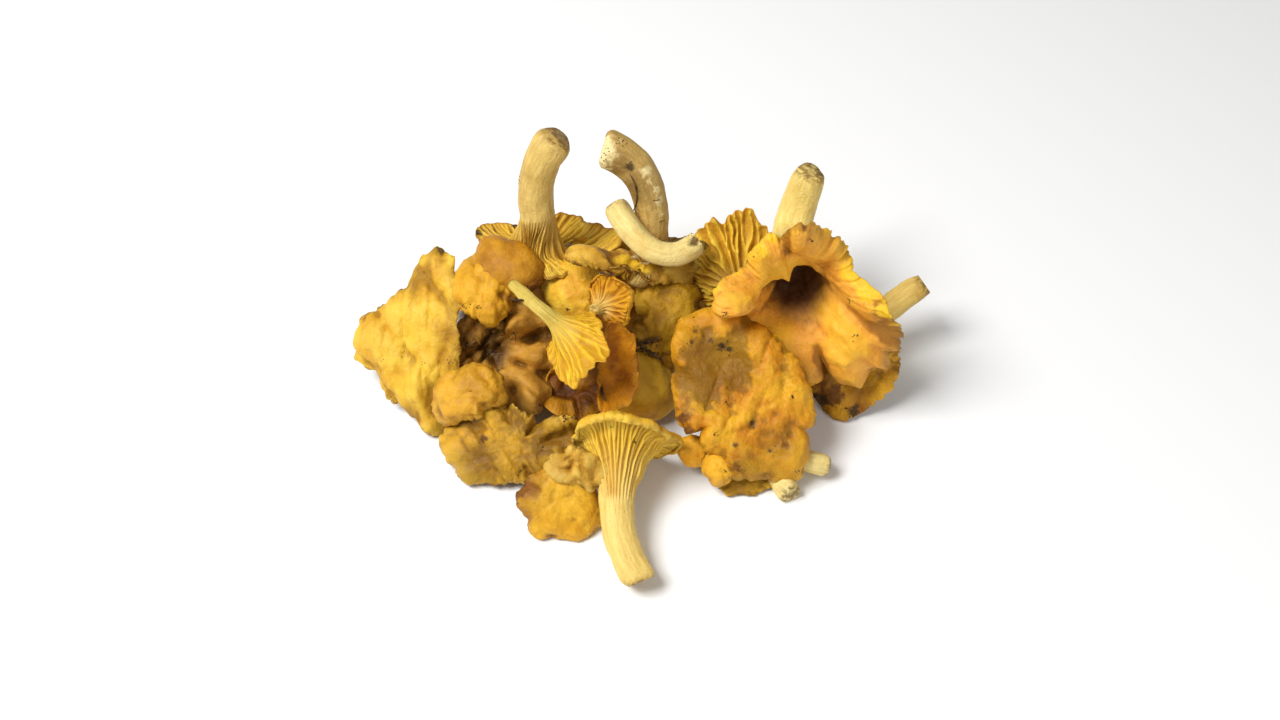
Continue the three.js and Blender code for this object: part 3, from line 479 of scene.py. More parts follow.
def ring_noise(angle, count, seed):
    """Noise that closes on itself round the stem, with about this many waves in the turn."""
    return noise(on_ring(angle, count / math.pi, 0.5), seed)


def sharp(wave):
    """Noise folded to rounded ridges with sharp valleys: 3 * sqrt(wave^2 + 0.004) - 0.8."""
    return 3 * np.sqrt(wave * wave + 0.004) - 0.8


# ---- The shape of one mushroom ----


def natural_terms(seed, offset, size):
    """Terms of 2 to 6 lobes, each (count, size, direction), smaller as they get finer."""
    return [
        (
            count,
            size * (0.4 + share(seed, offset + count)) / math.sqrt(count),
            360 * share(seed, offset + 20 + count),
        )
        for count in range(2, 7)
    ]


def round_sum(terms, angle):
    """The sum of size * cos(count * (angle - direction)) over the terms."""
    return sum(size * np.cos(count * (angle - way * DEG)) for count, size, way in terms)


def around(values, angle):
    """A list of values for even directions, read at each angle and eased by a half cosine between."""
    values = np.array(values, float)
    at = np.mod(angle / (2 * math.pi), 1.0) * len(values)
    k = np.floor(at).astype(int) % len(values)
    part = (1 - np.cos(math.pi * (at - np.floor(at)))) / 2
    return values[k] * (1 - part) + values[(k + 1) % len(values)] * part


def apart(angle, way):
    """How far each angle is from a direction in degrees, from -pi to pi."""
    return np.arctan2(np.sin(angle - way * DEG), np.cos(angle - way * DEG))


def left_of(cuts, power, angle):
    """The share of the cap's length left by its cuts: 1 - the sum of depth * e^-(|x| / width)^power."""
    return 1 - sum(
        depth * np.exp(-np.abs(apart(angle, way) / (width * DEG)) ** power)
        for way, width, depth in cuts
    )


def cap_lines(m, angle):
    """The cap's profile at every angle. Steps of flesh are laid end to end from the crown, each at
    the slope that its share of the length gives, and summed to a radius and a height. Notches, tears
    and the ragged rim take up to CUT_MOST of the length, all of it from the steps past CUT_FROM.
    Returns radius, height and slope, each a row for every step and a column for every angle, and the
    whole length at every angle."""
    whole = around(m["reach"], angle) * (1 + round_sum(m["lobes"], angle))
    ragged, teeth = m["ragged"]
    coarse = ring_noise(angle, teeth, m["seed"] + 40)
    fine = ring_noise(angle, teeth * 2.3, m["seed"] + 41)
    left = left_of(m["notches"], 2, angle) * left_of(m["tears"], 1.3, angle)
    left = left * (1 + ragged * (coarse + 0.5 * fine))
    turn = around(m["turn"], angle) + round_sum(m["waves"], angle)
    bulge, curl = around(m["bulge"], angle), around(m["curl"], angle)
    ruffle, folds = m["ruffle"]
    waver = ring_noise(angle, folds, m["seed"] + 42)
    waver = waver + 0.5 * ring_noise(angle, folds * 2.1, m["seed"] + 43)
    crown, half, rim = m["slope"]

    def slope_at(s):
        s = s[:, None]
        even = (1 - s) ** 2 * crown + 2 * s * (1 - s) * half + s**2 * rim
        return (
            even * (1 - np.exp(-s / CROWN_EASE))
            + turn * s**WAVE_ONSET
            + bulge * 4 * s * (1 - s)
            + curl * s**5
            + ruffle * waver * s**4
            - m["roll"] * (1 + 0.35 * waver) * s**10
        ) * DEG

    s = (np.arange(STEPS) + 0.5) / STEPS
    middle = slope_at(s)
    cut = np.minimum(1 - left, CUT_MOST) / (1 - CUT_FROM)
    step = whole / STEPS * (1 - cut * smooth_step(CUT_FROM - 0.1, CUT_FROM + 0.1, s)[:, None])
    zero = np.zeros((1, angle.size))
    radius = np.vstack([zero, np.cumsum(np.cos(middle) * step, axis=0)])
    height = np.vstack([zero, np.cumsum(np.sin(middle) * step, axis=0)])
    return radius, height, slope_at(np.arange(STEPS + 1) / STEPS), whole * left


def read_lines(lines, s):
    """The profile's radius, height and slope at these shares of its length."""
    k = np.minimum(np.floor(s * STEPS).astype(int), STEPS - 1)
    part = (s * STEPS - k)[:, None]
    return [line[k] * (1 - part) + line[k + 1] * part for line in lines[:3]]


def cap_point(radius, height, slope, out, beyond, angle):
    """A point beside the profile: "out" along the underside's normal and "beyond" along the slope."""
    r = radius + out * np.sin(slope) + beyond * np.cos(slope)
    return on_ring(angle, r, height - out * np.cos(slope) + beyond * np.sin(slope))


def curve(start, pull, end, t):
    """Points and unit tangents of the curve (1 - t)^2 * start + 2t(1 - t) * pull + t^2 * end."""
    centre = (1 - t) ** 2 * start + 2 * t * (1 - t) * pull + t**2 * end
    tangent = 2 * (1 - t) * (pull - start) + 2 * t * (end - pull)
    return centre, tangent / np.linalg.norm(tangent, axis=1, keepdims=True)


def stem_points(m, t, angle):
    """Rings round a quadratic curve from the neck to the foot. Each ring is turned by the shortest
    turn that takes straight down to the curve's tangent."""
    stem = m["stem"]
    start = np.array([0, 0, -stem["neck"]])
    control = np.array([0, 0, -stem["neck"] - stem["bow"]]) + stem["lean"]
    centre, tangent = curve(start, control, stem["end"], t[:, None])
    down = np.array([0.0, 0.0, -1.0])
    axis = np.cross(down, tangent)[:, None, :]
    cosine = (tangent @ down)[:, None, None]
    radius = (stem["top"] + (stem["base"] - stem["top"]) * t)[:, None]
    swell = 1 + 0.08 * t[:, None] * np.sin(3 * angle + m["seed"])
    uneven = stem["uneven"] * ring_noise(angle, 2.5, m["seed"] + 5)
    radius = radius * swell * (1 + uneven * smooth_step(0, 0.3, t[:, None]))
    slant, way = stem["slant"]
    lift = np.cos(apart(angle, way)) * math.tan(slant * DEG) * radius
    ring = on_ring(angle, radius, -lift * smooth_step(0.6, 1.0, t[:, None]))
    turned = (
        ring * cosine
        + np.cross(np.broadcast_to(axis, ring.shape), ring)
        + axis * np.sum(axis * ring, axis=-1, keepdims=True) / (1 + cosine)
    )
    return turned + centre[:, None, :], centre


def relief(m, s, angle, crown_points):
    """How far the cap's flesh stands proud of its profile, on both faces alike: lumps, soft folds
    that fan out from the crown, pleats that cross the cap, crumpling, bell-shaped dents, and creases
    along one direction."""
    seed = m["seed"]
    lump, size = m["lumps"]
    up = lump * rough(crown_points / size, seed + 60, 3)
    fold, count = m["folds"]
    fan = on_ring(angle, count / math.pi, 3.0 * s) + 0.35 * noise(crown_points / 9.0, seed + 71)[..., None]
    up = up + fold * noise(fan, seed + 70) * smooth_step(0.15, 1.0, s)
    x, y = crown_points[..., 0], crown_points[..., 1]
    for pleat, spacing, way in m["pleats"]:
        over = (x * math.cos(way * DEG) + y * math.sin(way * DEG)) / spacing
        along = (y * math.cos(way * DEG) - x * math.sin(way * DEG)) / (4.0 * spacing)
        up = up + pleat * sharp(noise(np.stack([over, along, 0 * over], axis=-1), seed + 75))
    crumple, size = m["crumple"]
    bent = crown_points / size + 0.5 * noise(crown_points / size / 1.7, seed + 77)[..., None]
    up = up + crumple * sharp(noise(bent, seed + 78))
    for way, share_at, size, rise in m["dents"]:
        ring = np.argmin(np.abs(s[:, 0] - share_at))
        side = int(round(way / 360 * angle.size)) % angle.size
        gap = np.linalg.norm(crown_points - crown_points[ring, side], axis=-1)
        up = up + rise * np.exp(-((gap / size) ** 2))
    for way, width, rise, first, last in m["creases"]:
        across = apart(angle, way) / (width * DEG)
        stretch = smooth_step(first, first + 0.2, s) * (1 - smooth_step(last, last + 0.15, s))
        up = up + rise * np.exp(-(across**2)) * stretch
    frill, waves = m["frill"]
    up = up + frill * ring_noise(angle[0], waves, seed + 44) * smooth_step(0.7, 1.0, s)
    return up * smooth_step(0.0, 0.12, s)


def ridge_field(m, v, angle, spacing):
    """Ridges that run out from the stem and fork once or twice, first at 0.22 to 0.56 of the way v
    and then at 0.6 to 0.9. Across one ridge, u runs from -1/2 to 1/2. The distance to the ridge is
    | |u| - spread |, folded again at the second fork, and each spread grows from nothing where that
    ridge forks. The crest is a bell of the distance in mm."""
    kit = m["ridges"]
    count, seed = kit["count"], m["seed"]
    weave = noise(on_ring(angle, 2, 1.6 * v), seed) + 0.3 * noise(on_ring(angle, 9, 5 * v), seed)
    turns = count * angle / (2 * math.pi) + kit["weave"] * weave
    index = np.floor(turns)
    u = turns - index - 0.5
    index = np.mod(index, count)
    first = 0.22 + 0.34 * (0.5 + 0.5 * lattice(index, 1, 2, seed))
    spread = 0.25 * smooth_step(first, first + 0.3, v)
    side = np.where(u < 0, -1.0, 1.0)
    d = np.abs(np.abs(u) - spread)
    if kit["forks"] > 1:
        second = 0.6 + 0.3 * (0.5 + 0.5 * lattice(index, side, 5, seed))
        d = np.abs(d - 0.125 * smooth_step(second, second + 0.25, v))
    width = np.minimum(kit["width"], 0.27 * spacing * (1 - 1.6 * spread) * 1.3)
    return np.exp(-((d * spacing / width) ** 2)) * (0.75 + 0.25 * lattice(index, side, 9, seed))


def normals_of(points):
    """Unit normals of a grid that closes round its second axis, from the cross product of its two
    differences. They point out of the flesh."""
    along = np.gradient(points, axis=0)
    across = np.roll(points, -1, axis=1) - np.roll(points, 1, axis=1)
    normal = np.cross(across, along)
    size = np.linalg.norm(normal, axis=-1, keepdims=True)
    return normal / np.maximum(size, 1e-9)


def place_of(m):
    """The turn whose +Z faces the cap's azimuth and elevation, and whose +X is its lowest side."""
    a, e = m["faces"][0] * DEG, m["faces"][1] * DEG
    x = (math.sin(e) * math.cos(a), math.sin(e) * math.sin(a), -math.cos(e))
    y = (-math.sin(a), math.cos(a), 0.0)
    z = (math.cos(e) * math.cos(a), math.cos(e) * math.sin(a), math.sin(e))
    return np.array([x, y, z]).T


def complete(row):
    """A row with what it leaves out filled in, and its foot in the mushroom's own frame."""
    sizes = bpy.context.scene.heap_sizes
    m = {**PLAIN_CAP, **row}
    m["rim"], m["core"] = m["rim"] * sizes.rim, m["core"] * sizes.core
    turn = place_of(m)
    stem = {**PLAIN_STEM, **m["stem"]}
    if "foot" in stem:
        end = turn.T @ (np.array(stem["foot"], float) - np.array(m["at"], float))
    else:
        end = np.array([0.0, 0.0, -float(stem["length"])])
    span = float(np.linalg.norm(end))
    stem["end"] = end
    stem.setdefault("neck", min(0.35 * sum(m["reach"]) / len(m["reach"]), 0.4 * span))
    stem.setdefault("bow", (span - stem["neck"]) / 2)
    stem["lean"] = turn.T @ np.array(stem["lean"], float)
    m["stem"] = stem
    m["ridges"] = m["ridges"] and {**PLAIN_RIDGES, **m["ridges"]}
    m["lobes"] = natural_terms(m["seed"], 0, m["lobed"])
    m["waves"] = natural_terms(m["seed"], 50, m["wavy"])
    return m


def smooth_skin(m, angle):
    """The skin before its ridges and wrinkles, as rings of points: the stem, the flare, and the cap,
    which lies on both sides of the profile by the flesh's thickness. Returns the points, the two
    first centres of the stem, the cap's shares of its length, the relief there and the mean length."""
    n_stem, n_flare, n_under, n_top = m["grid"][1:]
    lines = cap_lines(m, angle)
    # the stem, with a rounded edge at its cut end
    stem, centre = stem_points(m, 1 - np.linspace(0, 1, n_stem), angle)
    edge = len(CUT_EDGE)
    inner = centre[:edge, None]
    stem[:edge] = inner + (stem[:edge] - inner) * np.reshape(CUT_EDGE, (-1, 1, 1))
    # the cap: underside outwards, round the rim, and top inwards
    bend = np.linspace(-RIM_ROUND, RIM_ROUND, RIM_RINGS)
    s_top = 1 - (1 - np.linspace(1, 0, n_top + 1)[:-1]) ** TOP_SPACING
    s = np.concatenate([np.linspace(FLARE_END, 1, n_under), np.ones(RIM_RINGS), s_top])
    side = np.concatenate([np.ones(n_under), 0.5 * (1 - np.sin(bend)), np.zeros(n_top)])
    beyond = np.concatenate([np.zeros(n_under), np.cos(bend), np.zeros(n_top)])
    radius, height, slope = read_lines(lines, s)
    up = relief(m, s[:, None], angle[None, :], cap_point(radius, height, slope, 0, 0, angle))
    thick = m["rim"] + (m["core"] - m["rim"]) * (1 - s) ** 2
    thin = 1 - RIM_THIN * smooth_step(RIM_THIN_FROM, 1, s)
    out = side[:, None] * (thick * thin)[:, None] - up
    cap = cap_point(radius, height, slope, out, (beyond * m["rim"] * RIM_BULGE)[:, None], angle)
    # the flare: a cubic from the top of the stem to the start of the underside
    f = (np.arange(1, n_flare + 1) / (n_flare + 1))[:, None, None]
    start, end = stem[-1][None], cap[0][None]
    pull = np.linalg.norm(end - start, axis=-1, keepdims=True)
    flare_slope = read_lines(lines, np.array([FLARE_END]))[2]
    leave = np.array([0, 0, 1.0]) * pull * m["flare"]
    arrive = on_ring(angle, np.cos(flare_slope), np.sin(flare_slope)) * pull
    flare = start * (2 * f**3 - 3 * f**2 + 1) + leave * (f**3 - 2 * f**2 + f)
    flare = flare + end * (3 * f**2 - 2 * f**3) + arrive * (f**3 - f**2)
    return np.concatenate([stem, flare, cap]), centre[:2], s, up, lines[3].mean()


def skin_of(m):
    """The whole skin of one mushroom as a grid of rings from the cut end to the crown, in its own
    frame and in mm, and what each point is: its share along the cap, the stem, the underside, the
    rim and the crest of a ridge. Ridges and wrinkles lift the smooth skin along its normals."""
    sides, n_stem, n_flare, n_under, n_top = m["grid"]
    seed = m["seed"]
    angle = 2 * math.pi * np.arange(sides) / sides
    points, centre, s, up, reach = smooth_skin(m, angle)
    rings, n_low = len(points), n_stem + n_flare + n_under
    # how far each ring is from the cut end, in mm, and what it is
    step = np.linalg.norm(np.diff(points, axis=0), axis=-1).mean(axis=1)
    path = np.concatenate([[0], np.cumsum(step)])
    fading = np.linspace(1, 0, n_flare + 2)[1:-1]
    on_stem = np.concatenate([np.ones(n_stem), fading, np.zeros(rings - n_stem - n_flare)])[:, None]
    under = np.concatenate([np.ones(n_low), np.linspace(1, 0, RIM_RINGS), np.zeros(n_top)])[:, None]
    along = np.concatenate([np.zeros(n_stem), np.linspace(0, FLARE_END, n_flare), s])[:, None]
    grain = on_ring(angle, 1, (path * GRAIN_LENGTH)[:, None])
    normal = normals_of(points)
    lift = np.zeros((rings, sides))
    crest = np.zeros((rings, sides))
    if m["ridges"]:
        kit = m["ridges"]
        down = kit["down"] * path[n_stem - 1]
        v = (path - path[n_stem - 1] + down) / (path[n_low - 1] - path[n_stem - 1] + down)
        spacing = np.linalg.norm(np.diff(points, axis=1, append=points[:, :1]), axis=-1).sum(axis=1)
        crest = ridge_field(m, v[:, None], angle[None, :], (spacing / kit["count"])[:, None])
        uneven = 1 + 0.3 * rough(points / 6.0, seed + 80, 2)
        fade = smooth_step(0.0, kit["ease"], v) * (1 - smooth_step(0.97, 1.01, v))
        fade = (fade * (np.arange(rings) < n_low))[:, None]
        crest = crest * fade
        size = kit["height"] * bpy.context.scene.heap_sizes.ridge
        lift += crest * size * uneven - VALLEY_DEPTH * fade
    # small wrinkles on the top, and lengthwise ones on the stem and on a plain underside
    wrinkle, coarse = m["wrinkles"]
    streaks = grain * np.array([9.0, 9.0, 6.0]) + 0.5 * noise(points / 6.0, seed + 89)[..., None]
    streaks = rough(streaks, seed + 91, 2) * smooth_step(0.35, 1.0, along)
    lift += (1 - under) * wrinkle * (0.6 * rough(points / coarse, seed + 90, 3) + 0.45 * streaks)
    fibre, lump = m["fibres"]
    fibres = fibre * rough(grain * np.array([7.0, 7.0, 5.0]), seed + 92, 3)
    lift += on_stem * (fibres + lump * rough(points / 7.0, seed + 93, 2))
    if not m["ridges"]:
        fan = rough(grain * np.array([16.0, 16.0, 3.0]), seed + 94, 2)
        lift += under * (1 - on_stem) * 0.25 * fan
    points = points + normal * lift[..., None]
    proud = np.tanh((np.vstack([np.zeros((n_stem + n_flare, sides)), up]) * 0.6 + lift * 1.6) / 1.1)
    inwards = centre[1] - centre[0]
    base = centre[0] + CUT_DIP * inwards / np.linalg.norm(inwards)
    facts = {
        "stem": on_stem,
        "under": under,
        "rim": np.exp(-((1 - along) * reach / RIM_FADE)) * (along > 0.5),
        "along": along,
        "crest": crest,
        "proud": 0.5 + 0.5 * proud,
        "cut": np.exp(-path / CUT_FADE)[:, None],
    }
    facts = {name: np.broadcast_to(values, (rings, sides)) for name, values in facts.items()}
    return points, base, points[-1].mean(axis=0), {**facts, "grain": grain}


def tube_faces(rings, sides):
    """The faces of a closed grid: quads between its rings, and a fan of triangles at each end round
    the two points that follow the grid."""
    i = np.arange(sides)
    j = (i + 1) % sides
    first = (np.arange(rings - 1) * sides)[:, None]
    quads = np.stack([first + i, first + j, first + sides + j, first + sides + i], axis=-1)
    pole, last = rings * sides, (rings - 1) * sides
    at_start = np.stack([0 * i + pole, j, i], axis=-1)
    at_end = np.stack([last + i, last + j, 0 * i + pole + 1], axis=-1)
    return quads.reshape(-1, 4), np.concatenate([at_start, at_end])


def mesh_from(name, points, quads, fans, smooth):
    """A mesh of points in mm, quads and triangles."""
    mesh = bpy.data.meshes.new(name)
    mesh.vertices.add(len(points))
    mesh.vertices.foreach_set("co", (points * MM).ravel())
    loops = np.concatenate([quads.ravel(), fans.ravel()])
    starts = np.concatenate([np.arange(len(quads)) * 4, len(quads) * 4 + np.arange(len(fans)) * 3])
    mesh.loops.add(len(loops))
    mesh.loops.foreach_set("vertex_index", loops.astype(np.int32))
    mesh.polygons.add(len(starts))
    mesh.polygons.foreach_set("loop_start", starts.astype(np.int32))
    mesh.update(calc_edges=True)
    mesh.polygons.foreach_set("use_smooth", np.full(len(starts), smooth))
    return mesh


def mesh_of(m):
    """The skin as a mesh, closed by a fan of triangles at the cut end and at the crown. Heights are
    eased to (z + sqrt(z^2 + 1)) / 2, so that what meets the table lies flat on it, and tops that
    come near it stay clear of their undersides."""
    points, base, crown, facts = skin_of(m)
    rings, sides = points.shape[:2]
    world = np.vstack([points.reshape(-1, 3), base, crown]) @ place_of(m).T + np.array(m["at"], float)
    world[:, :2] -= MIDDLE
    top = np.append(1 - facts["under"].ravel(), [0, 1])
    z = world[:, 2]
    world[:, 2] = (z + np.sqrt(z * z + 1)) / 2 + TOP_GAP * top * (1 - smooth_step(-2, 6, z))
    mesh = mesh_from(m["name"], world, *tube_faces(rings, sides), True)
    facts.update(marks_of(m, world[:-2].reshape(rings, sides, 3)))
    for name, values in facts.items():
        kind, field = ("FLOAT_VECTOR", "vector") if name == "grain" else ("FLOAT", "value")
        rows = values.reshape(rings, sides, -1)
        filled = np.vstack([rows.reshape(rings * sides, -1), rows[0].mean(0), rows[-1].mean(0)])
        layer = mesh.attributes.new(name, kind, "POINT")
        layer.data.foreach_set(field, filled.astype(np.float32).ravel())
    mesh.validate()
    return mesh


def point_index(m, part, way, at):
    """The number of the skin's point at a direction and a share of the way along a part."""
    sides, n_stem, n_flare, n_under, n_top = m["grid"]
    if part == "stem":
        ring = int(round((1 - at) * (n_stem - 1)))
    elif part == "under":
        ring = n_stem + n_flare + int(round(max(at - FLARE_END, 0) / (1 - FLARE_END) * (n_under - 1)))
    else:
        ring = n_stem + n_flare + n_under + RIM_RINGS + int(round((1 - at) * (n_top - 1)))
    return ring * sides + int(round(way / 360 * sides)) % sides


# Shade marks are painted shade, which the flesh lays in the valley tone.
def marks_of(m, points):
    """Where the skin is brown, dark, pale or shaded. Each mark is a bell round one point of the
    skin, with a size in mm."""
    marks = {kind: np.zeros(points.shape[:2]) for kind in MARK_KINDS}
    for name, spots in m["marks"].items():
        kind, _, part = name.partition("_")
        for way, at, size, strength in spots:
            spot = points.reshape(-1, 3)[point_index(m, part, way, at)]
            gap = np.linalg.norm(points - spot, axis=-1)
            marks[kind] = np.maximum(marks[kind], strength * np.exp(-((gap / size) ** 2)))
    return marks


# ---- Flesh, soil and table ----

MIX = {"data_type": "RGBA"}
TIMES = {"operation": "MULTIPLY", "use_clamp": True}
PLUS = {"operation": "ADD"}
TIMES_PLUS = {"operation": "MULTIPLY_ADD"}
MINUS = {"operation": "SUBTRACT", "use_clamp": True}
POWER = {"operation": "POWER", "use_clamp": True}
EASED = {"interpolation_type": "SMOOTHSTEP"}


def linear(colour):
    """An sRGB hex colour as linear red, green, blue and alpha."""
    parts = [int(colour[i : i + 2], 16) / 255 for i in (1, 3, 5)]
    return tuple(c / 12.92 if c <= 0.04045 else ((c + 0.055) / 1.055) ** 2.4 for c in parts) + (1.0,)


def add(tree, kind, settings, inputs):
    """Adds a node, gives it its settings, and sets or links its inputs by name or by number."""
    node = tree.nodes.new(kind)
    for key, value in settings.items():
        setattr(node, key, value)
    for key, value in inputs.items():
        if isinstance(value, bpy.types.NodeSocket):
            tree.links.new(value, node.inputs[key])
        else:
            node.inputs[key].default_value = value
    return node


def blank_material(name):
    """A new material with an empty node tree."""
    material = bpy.data.materials.new(name)
    material.use_nodes = True
    material.node_tree.nodes.clear()
    return material


def layered(tree, colour, layers):
    """Colours laid over a first one. Each layer is [factors that are multiplied, colour]."""
    for factors, over in layers:
        factor = factors[0]
        for other in factors[1:]:
            factor = add(tree, "ShaderNodeMath", TIMES, {0: factor, 1: other}).outputs[0]
        colour = add(tree, "ShaderNodeMix", MIX, {0: factor, 6: colour, 7: over}).outputs[2]
    return colour


def flesh(m):
    """Fresh chanterelle flesh: a soft, moist skin with no shine of its own, which lets some light in.
    Cloudy patches of two yellows and fine streaks that fan out from the crown give the cap its
    colour. The ridges are pale on their crests and deep orange between them, the stem is creamy with
    lengthwise fibres, and handling leaves brown bruises and specks of soil."""
    material = blank_material("chanterelle flesh " + m["name"])
    tree = material.node_tree
    tones = {**dict(zip(TONE_PARTS, TONES[m["skin"]])), **m["tones"]}
    paint = {name: linear(colour) for name, colour in tones.items()}
    place = add(tree, "ShaderNodeTexCoord", {}, {}).outputs["Object"]
    read = {
        name: add(tree, "ShaderNodeAttribute", {"attribute_name": name}, {}).outputs
        for name in (*SKIN_FACTS, *MARK_KINDS, "grain")
    }
    fact = {name: sockets["Fac"] for name, sockets in read.items()}
    grain = read["grain"]["Vector"]
    shift = {"Vector": place, "Location": (0.1 * m["seed"], 0.0, 0.0)}
    own = add(tree, "ShaderNodeMapping", {}, shift).outputs[0]
    # Masks of noise: [where it is read, scale, detail, warp, nothing at, full at, most]. The clouds
    # are 14 mm across, the mottling 3 mm and the streaks a few degrees.
    noises = {
        "cloud": (own, 70.0, 3.0, 0.4, 0.36, 0.62, 1.0),
        "mottle": (own, 330.0, 3.0, 0.4, 0.42, 0.66, 1.0),
        "streak": (grain, 9.0, 3.0, 0.35, 0.42, 0.68, 1.0),
        "edge": (own, 210.0, 3.0, 0.4, 0.3, 0.6, 0.85),
        "dry": (own, 190.0, 3.0, 0.4, 0.45, 0.56, m["worn"]),
        "fan": (grain, 16.0, 3.0, 0.4, 0.4, 0.6, 1.0),
        "fibre": (grain, 5.0, 3.0, 0.1, 0.42, 0.7, 0.5),
        "stem": (own, 90.0, 3.0, 0.4, 0.48, 0.75, 0.6),
        "cut": (own, 400.0, 3.0, 0.4, 0.35, 0.6, 0.8),
        "broken": (own, 260.0, 4.0, 0.4, 0.3, 0.7, 1.0),
        "bruise": (own, 45.0, 3.0, 0.4, 0.62 - 0.2 * m["bruise"], 0.8, 1.0),
        "gathered": (own, 120.0, 1.0, 0.4, 0.44, 0.66, 1.0),
    }
    mask = {}
    for name, (where, scale, detail, warp, low, high, most) in noises.items():
        waves = {"Vector": where, "Scale": scale, "Detail": detail, "Roughness": 0.6, "Distortion": warp}
        waves = add(tree, "ShaderNodeTexNoise", {}, waves).outputs[0]
        spread = {"Value": waves, "From Min": low, "From Max": high, "To Max": most}
        mask[name] = add(tree, "ShaderNodeMapRange", EASED, spread).outputs[0]
    # Bands of one value: [value, nothing at, full at, most]. Hollows take painted shade in the valley tone,
    # what stands proud takes a painted highlight in the margin tone, and the throat is the part of the cap
    # near the crown, which takes painted shade where its tone is dark.
    bands = {
        "hollow": (fact["proud"], 0.50, 0.14, 0.85),
        "painted_highlight": (fact["proud"], 0.55, 0.95, 0.45),
        "throat": (fact["along"], 0.45, 0.22, m["throat"]),
    }
    # marks have broken edges and fade out where their value is small
    half = add(tree, "ShaderNodeMath", TIMES, {0: mask["broken"], 1: 0.5}).outputs[0]
    for kind, most in (("brown", 0.9), ("dark", 0.85), ("pale", 0.9)):
        ragged = add(tree, "ShaderNodeMath", PLUS, {0: fact[kind], 1: half}).outputs[0]
        bands[kind] = (ragged, 0.55, 1.05, most)
        mask["near " + kind] = add(tree, "ShaderNodeMath", TIMES, {0: fact[kind], 1: 4.0}).outputs[0]
    for name, (value, low, high, most) in bands.items():
        spread = {"Value": value, "From Min": low, "From Max": high, "To Max": most}
        mask[name] = add(tree, "ShaderNodeMapRange", EASED, spread).outputs[0]
    # powers of one value
    for name, value, power in (("far", "along", 2.0), ("outer", "rim", 1.5), ("ridge", "crest", 0.8)):
        mask[name] = add(tree, "ShaderNodeMath", POWER, {0: fact[value], 1: power}).outputs[0]
    # specks of soil, up to a millimetre across, in some of the 1.6 mm cells
    wobble = add(tree, "ShaderNodeTexNoise", {}, {"Vector": place, "Scale": 1500.0, "Detail": 3.0})
    wobble = {0: wobble.outputs["Color"], "Scale": 0.0011}
    wobble = add(tree, "ShaderNodeVectorMath", {"operation": "SCALE"}, wobble).outputs[0]
    moved = add(tree, "ShaderNodeVectorMath", PLUS, {0: own, 1: wobble}).outputs[0]
    cells = add(tree, "ShaderNodeTexVoronoi", {}, {"Vector": moved, "Scale": 620.0, "Randomness": 1.0})
    picked = {"Value": cells.outputs["Color"], "From Min": 0.90 - 0.16 * m["dirt"], "To Max": 0.36}
    picked = add(tree, "ShaderNodeMapRange", {}, picked).outputs[0]
    size = add(tree, "ShaderNodeMath", TIMES, {0: picked, 1: mask["gathered"]}).outputs[0]
    beside = {0: size, 1: cells.outputs["Distance"]}
    speck = add(tree, "ShaderNodeMath", MINUS, beside).outputs[0]
    # the underside and the stem, then the cap with both laid over it
    # Painted highlight and painted shade on the ridges: the crests in the crest tone, the flesh between
    # them in the darker valley tone.
    if m["ridges"]:
        low = (((mask["ridge"],), paint["crest"]), ((mask["cloud"], 0.25), paint["deep"]))
    else:
        low = (((mask["fan"],), paint["deep"]),)
    low = layered(tree, paint["valley"], low)
    stem = layered(
        tree, paint["stem"], (((mask["fibre"],), paint["stem_deep"]), ((mask["stem"],), paint["stem_deep"]))
    )
    colour = layered(tree, paint["light"], (
        ((mask["cloud"],), paint["deep"]),
        ((mask["streak"], mask["far"], 0.6), paint["deep"]),
        ((mask["mottle"], 0.35), paint["light"]),
        ((fact["rim"], mask["edge"]), paint["margin"]),
        ((mask["outer"], mask["dry"]), paint["bruise"]),
        # painted shade in the hollows, and a painted highlight on what stands proud
        ((mask["hollow"], 0.8), paint["valley"]),
        ((mask["painted_highlight"],), paint["margin"]),
        # painted shade near the crown, in the throat tone, or else the bruise tone
        ((mask["throat"],), paint.get("throat", paint["bruise"])),
        ((fact["under"],), low),
        ((fact["stem"],), stem),
        ((fact["cut"], mask["cut"]), paint["bruise"]),
        # painted shade where a row sets shade marks
        ((fact["shade"], 0.75), paint["valley"]),
        ((mask["bruise"], m["bruise"], mask["broken"]), paint["bruise"]),
        ((mask["brown"], mask["near brown"]), paint["bruise"]),
        ((mask["dark"], mask["near dark"]), linear("#33220D")),
        ((mask["pale"], mask["near pale"]), paint["margin"]),
        ((speck, 16.0), linear("#3A2610")),
    ))
    # fine skin: 0.7 mm grain, the mottling and the streaks, all as low relief
    fine = {"Vector": place, "Scale": 1300.0, "Detail": 3.0, "Roughness": 0.6}
    fine = add(tree, "ShaderNodeTexNoise", {}, fine).outputs[0]
    streak = add(tree, "ShaderNodeMath", TIMES, {0: mask["streak"], 1: fact["along"]}).outputs[0]
    height = 0.0
    for value, much in ((fine, 0.6), (streak, 0.5), (mask["mottle"], 0.4)):
        height = add(tree, "ShaderNodeMath", TIMES_PLUS, {0: value, 1: much, 2: height}).outputs[0]
    bump = add(tree, "ShaderNodeBump", {}, {"Height": height, "Strength": 0.75, "Distance": 0.0005})
    rough_skin = {"Value": fine, "From Min": 0.3, "From Max": 0.7, "To Min": 0.38, "To Max": 0.56}
    rough_skin = add(tree, "ShaderNodeMapRange", {}, rough_skin).outputs[0]
    skin = add(tree, "ShaderNodeBsdfPrincipled", {}, {
        "Base Color": colour, "Roughness": rough_skin, "Specular IOR Level": 0.36, "IOR": 1.38,
        "Normal": bump.outputs[0], "Subsurface Weight": 0.12, "Subsurface Radius": (1.0, 0.45, 0.1),
        "Subsurface Scale": 0.0018,
    })
    add(tree, "ShaderNodeOutputMaterial", {}, {"Surface": skin.outputs[0]})
    return material


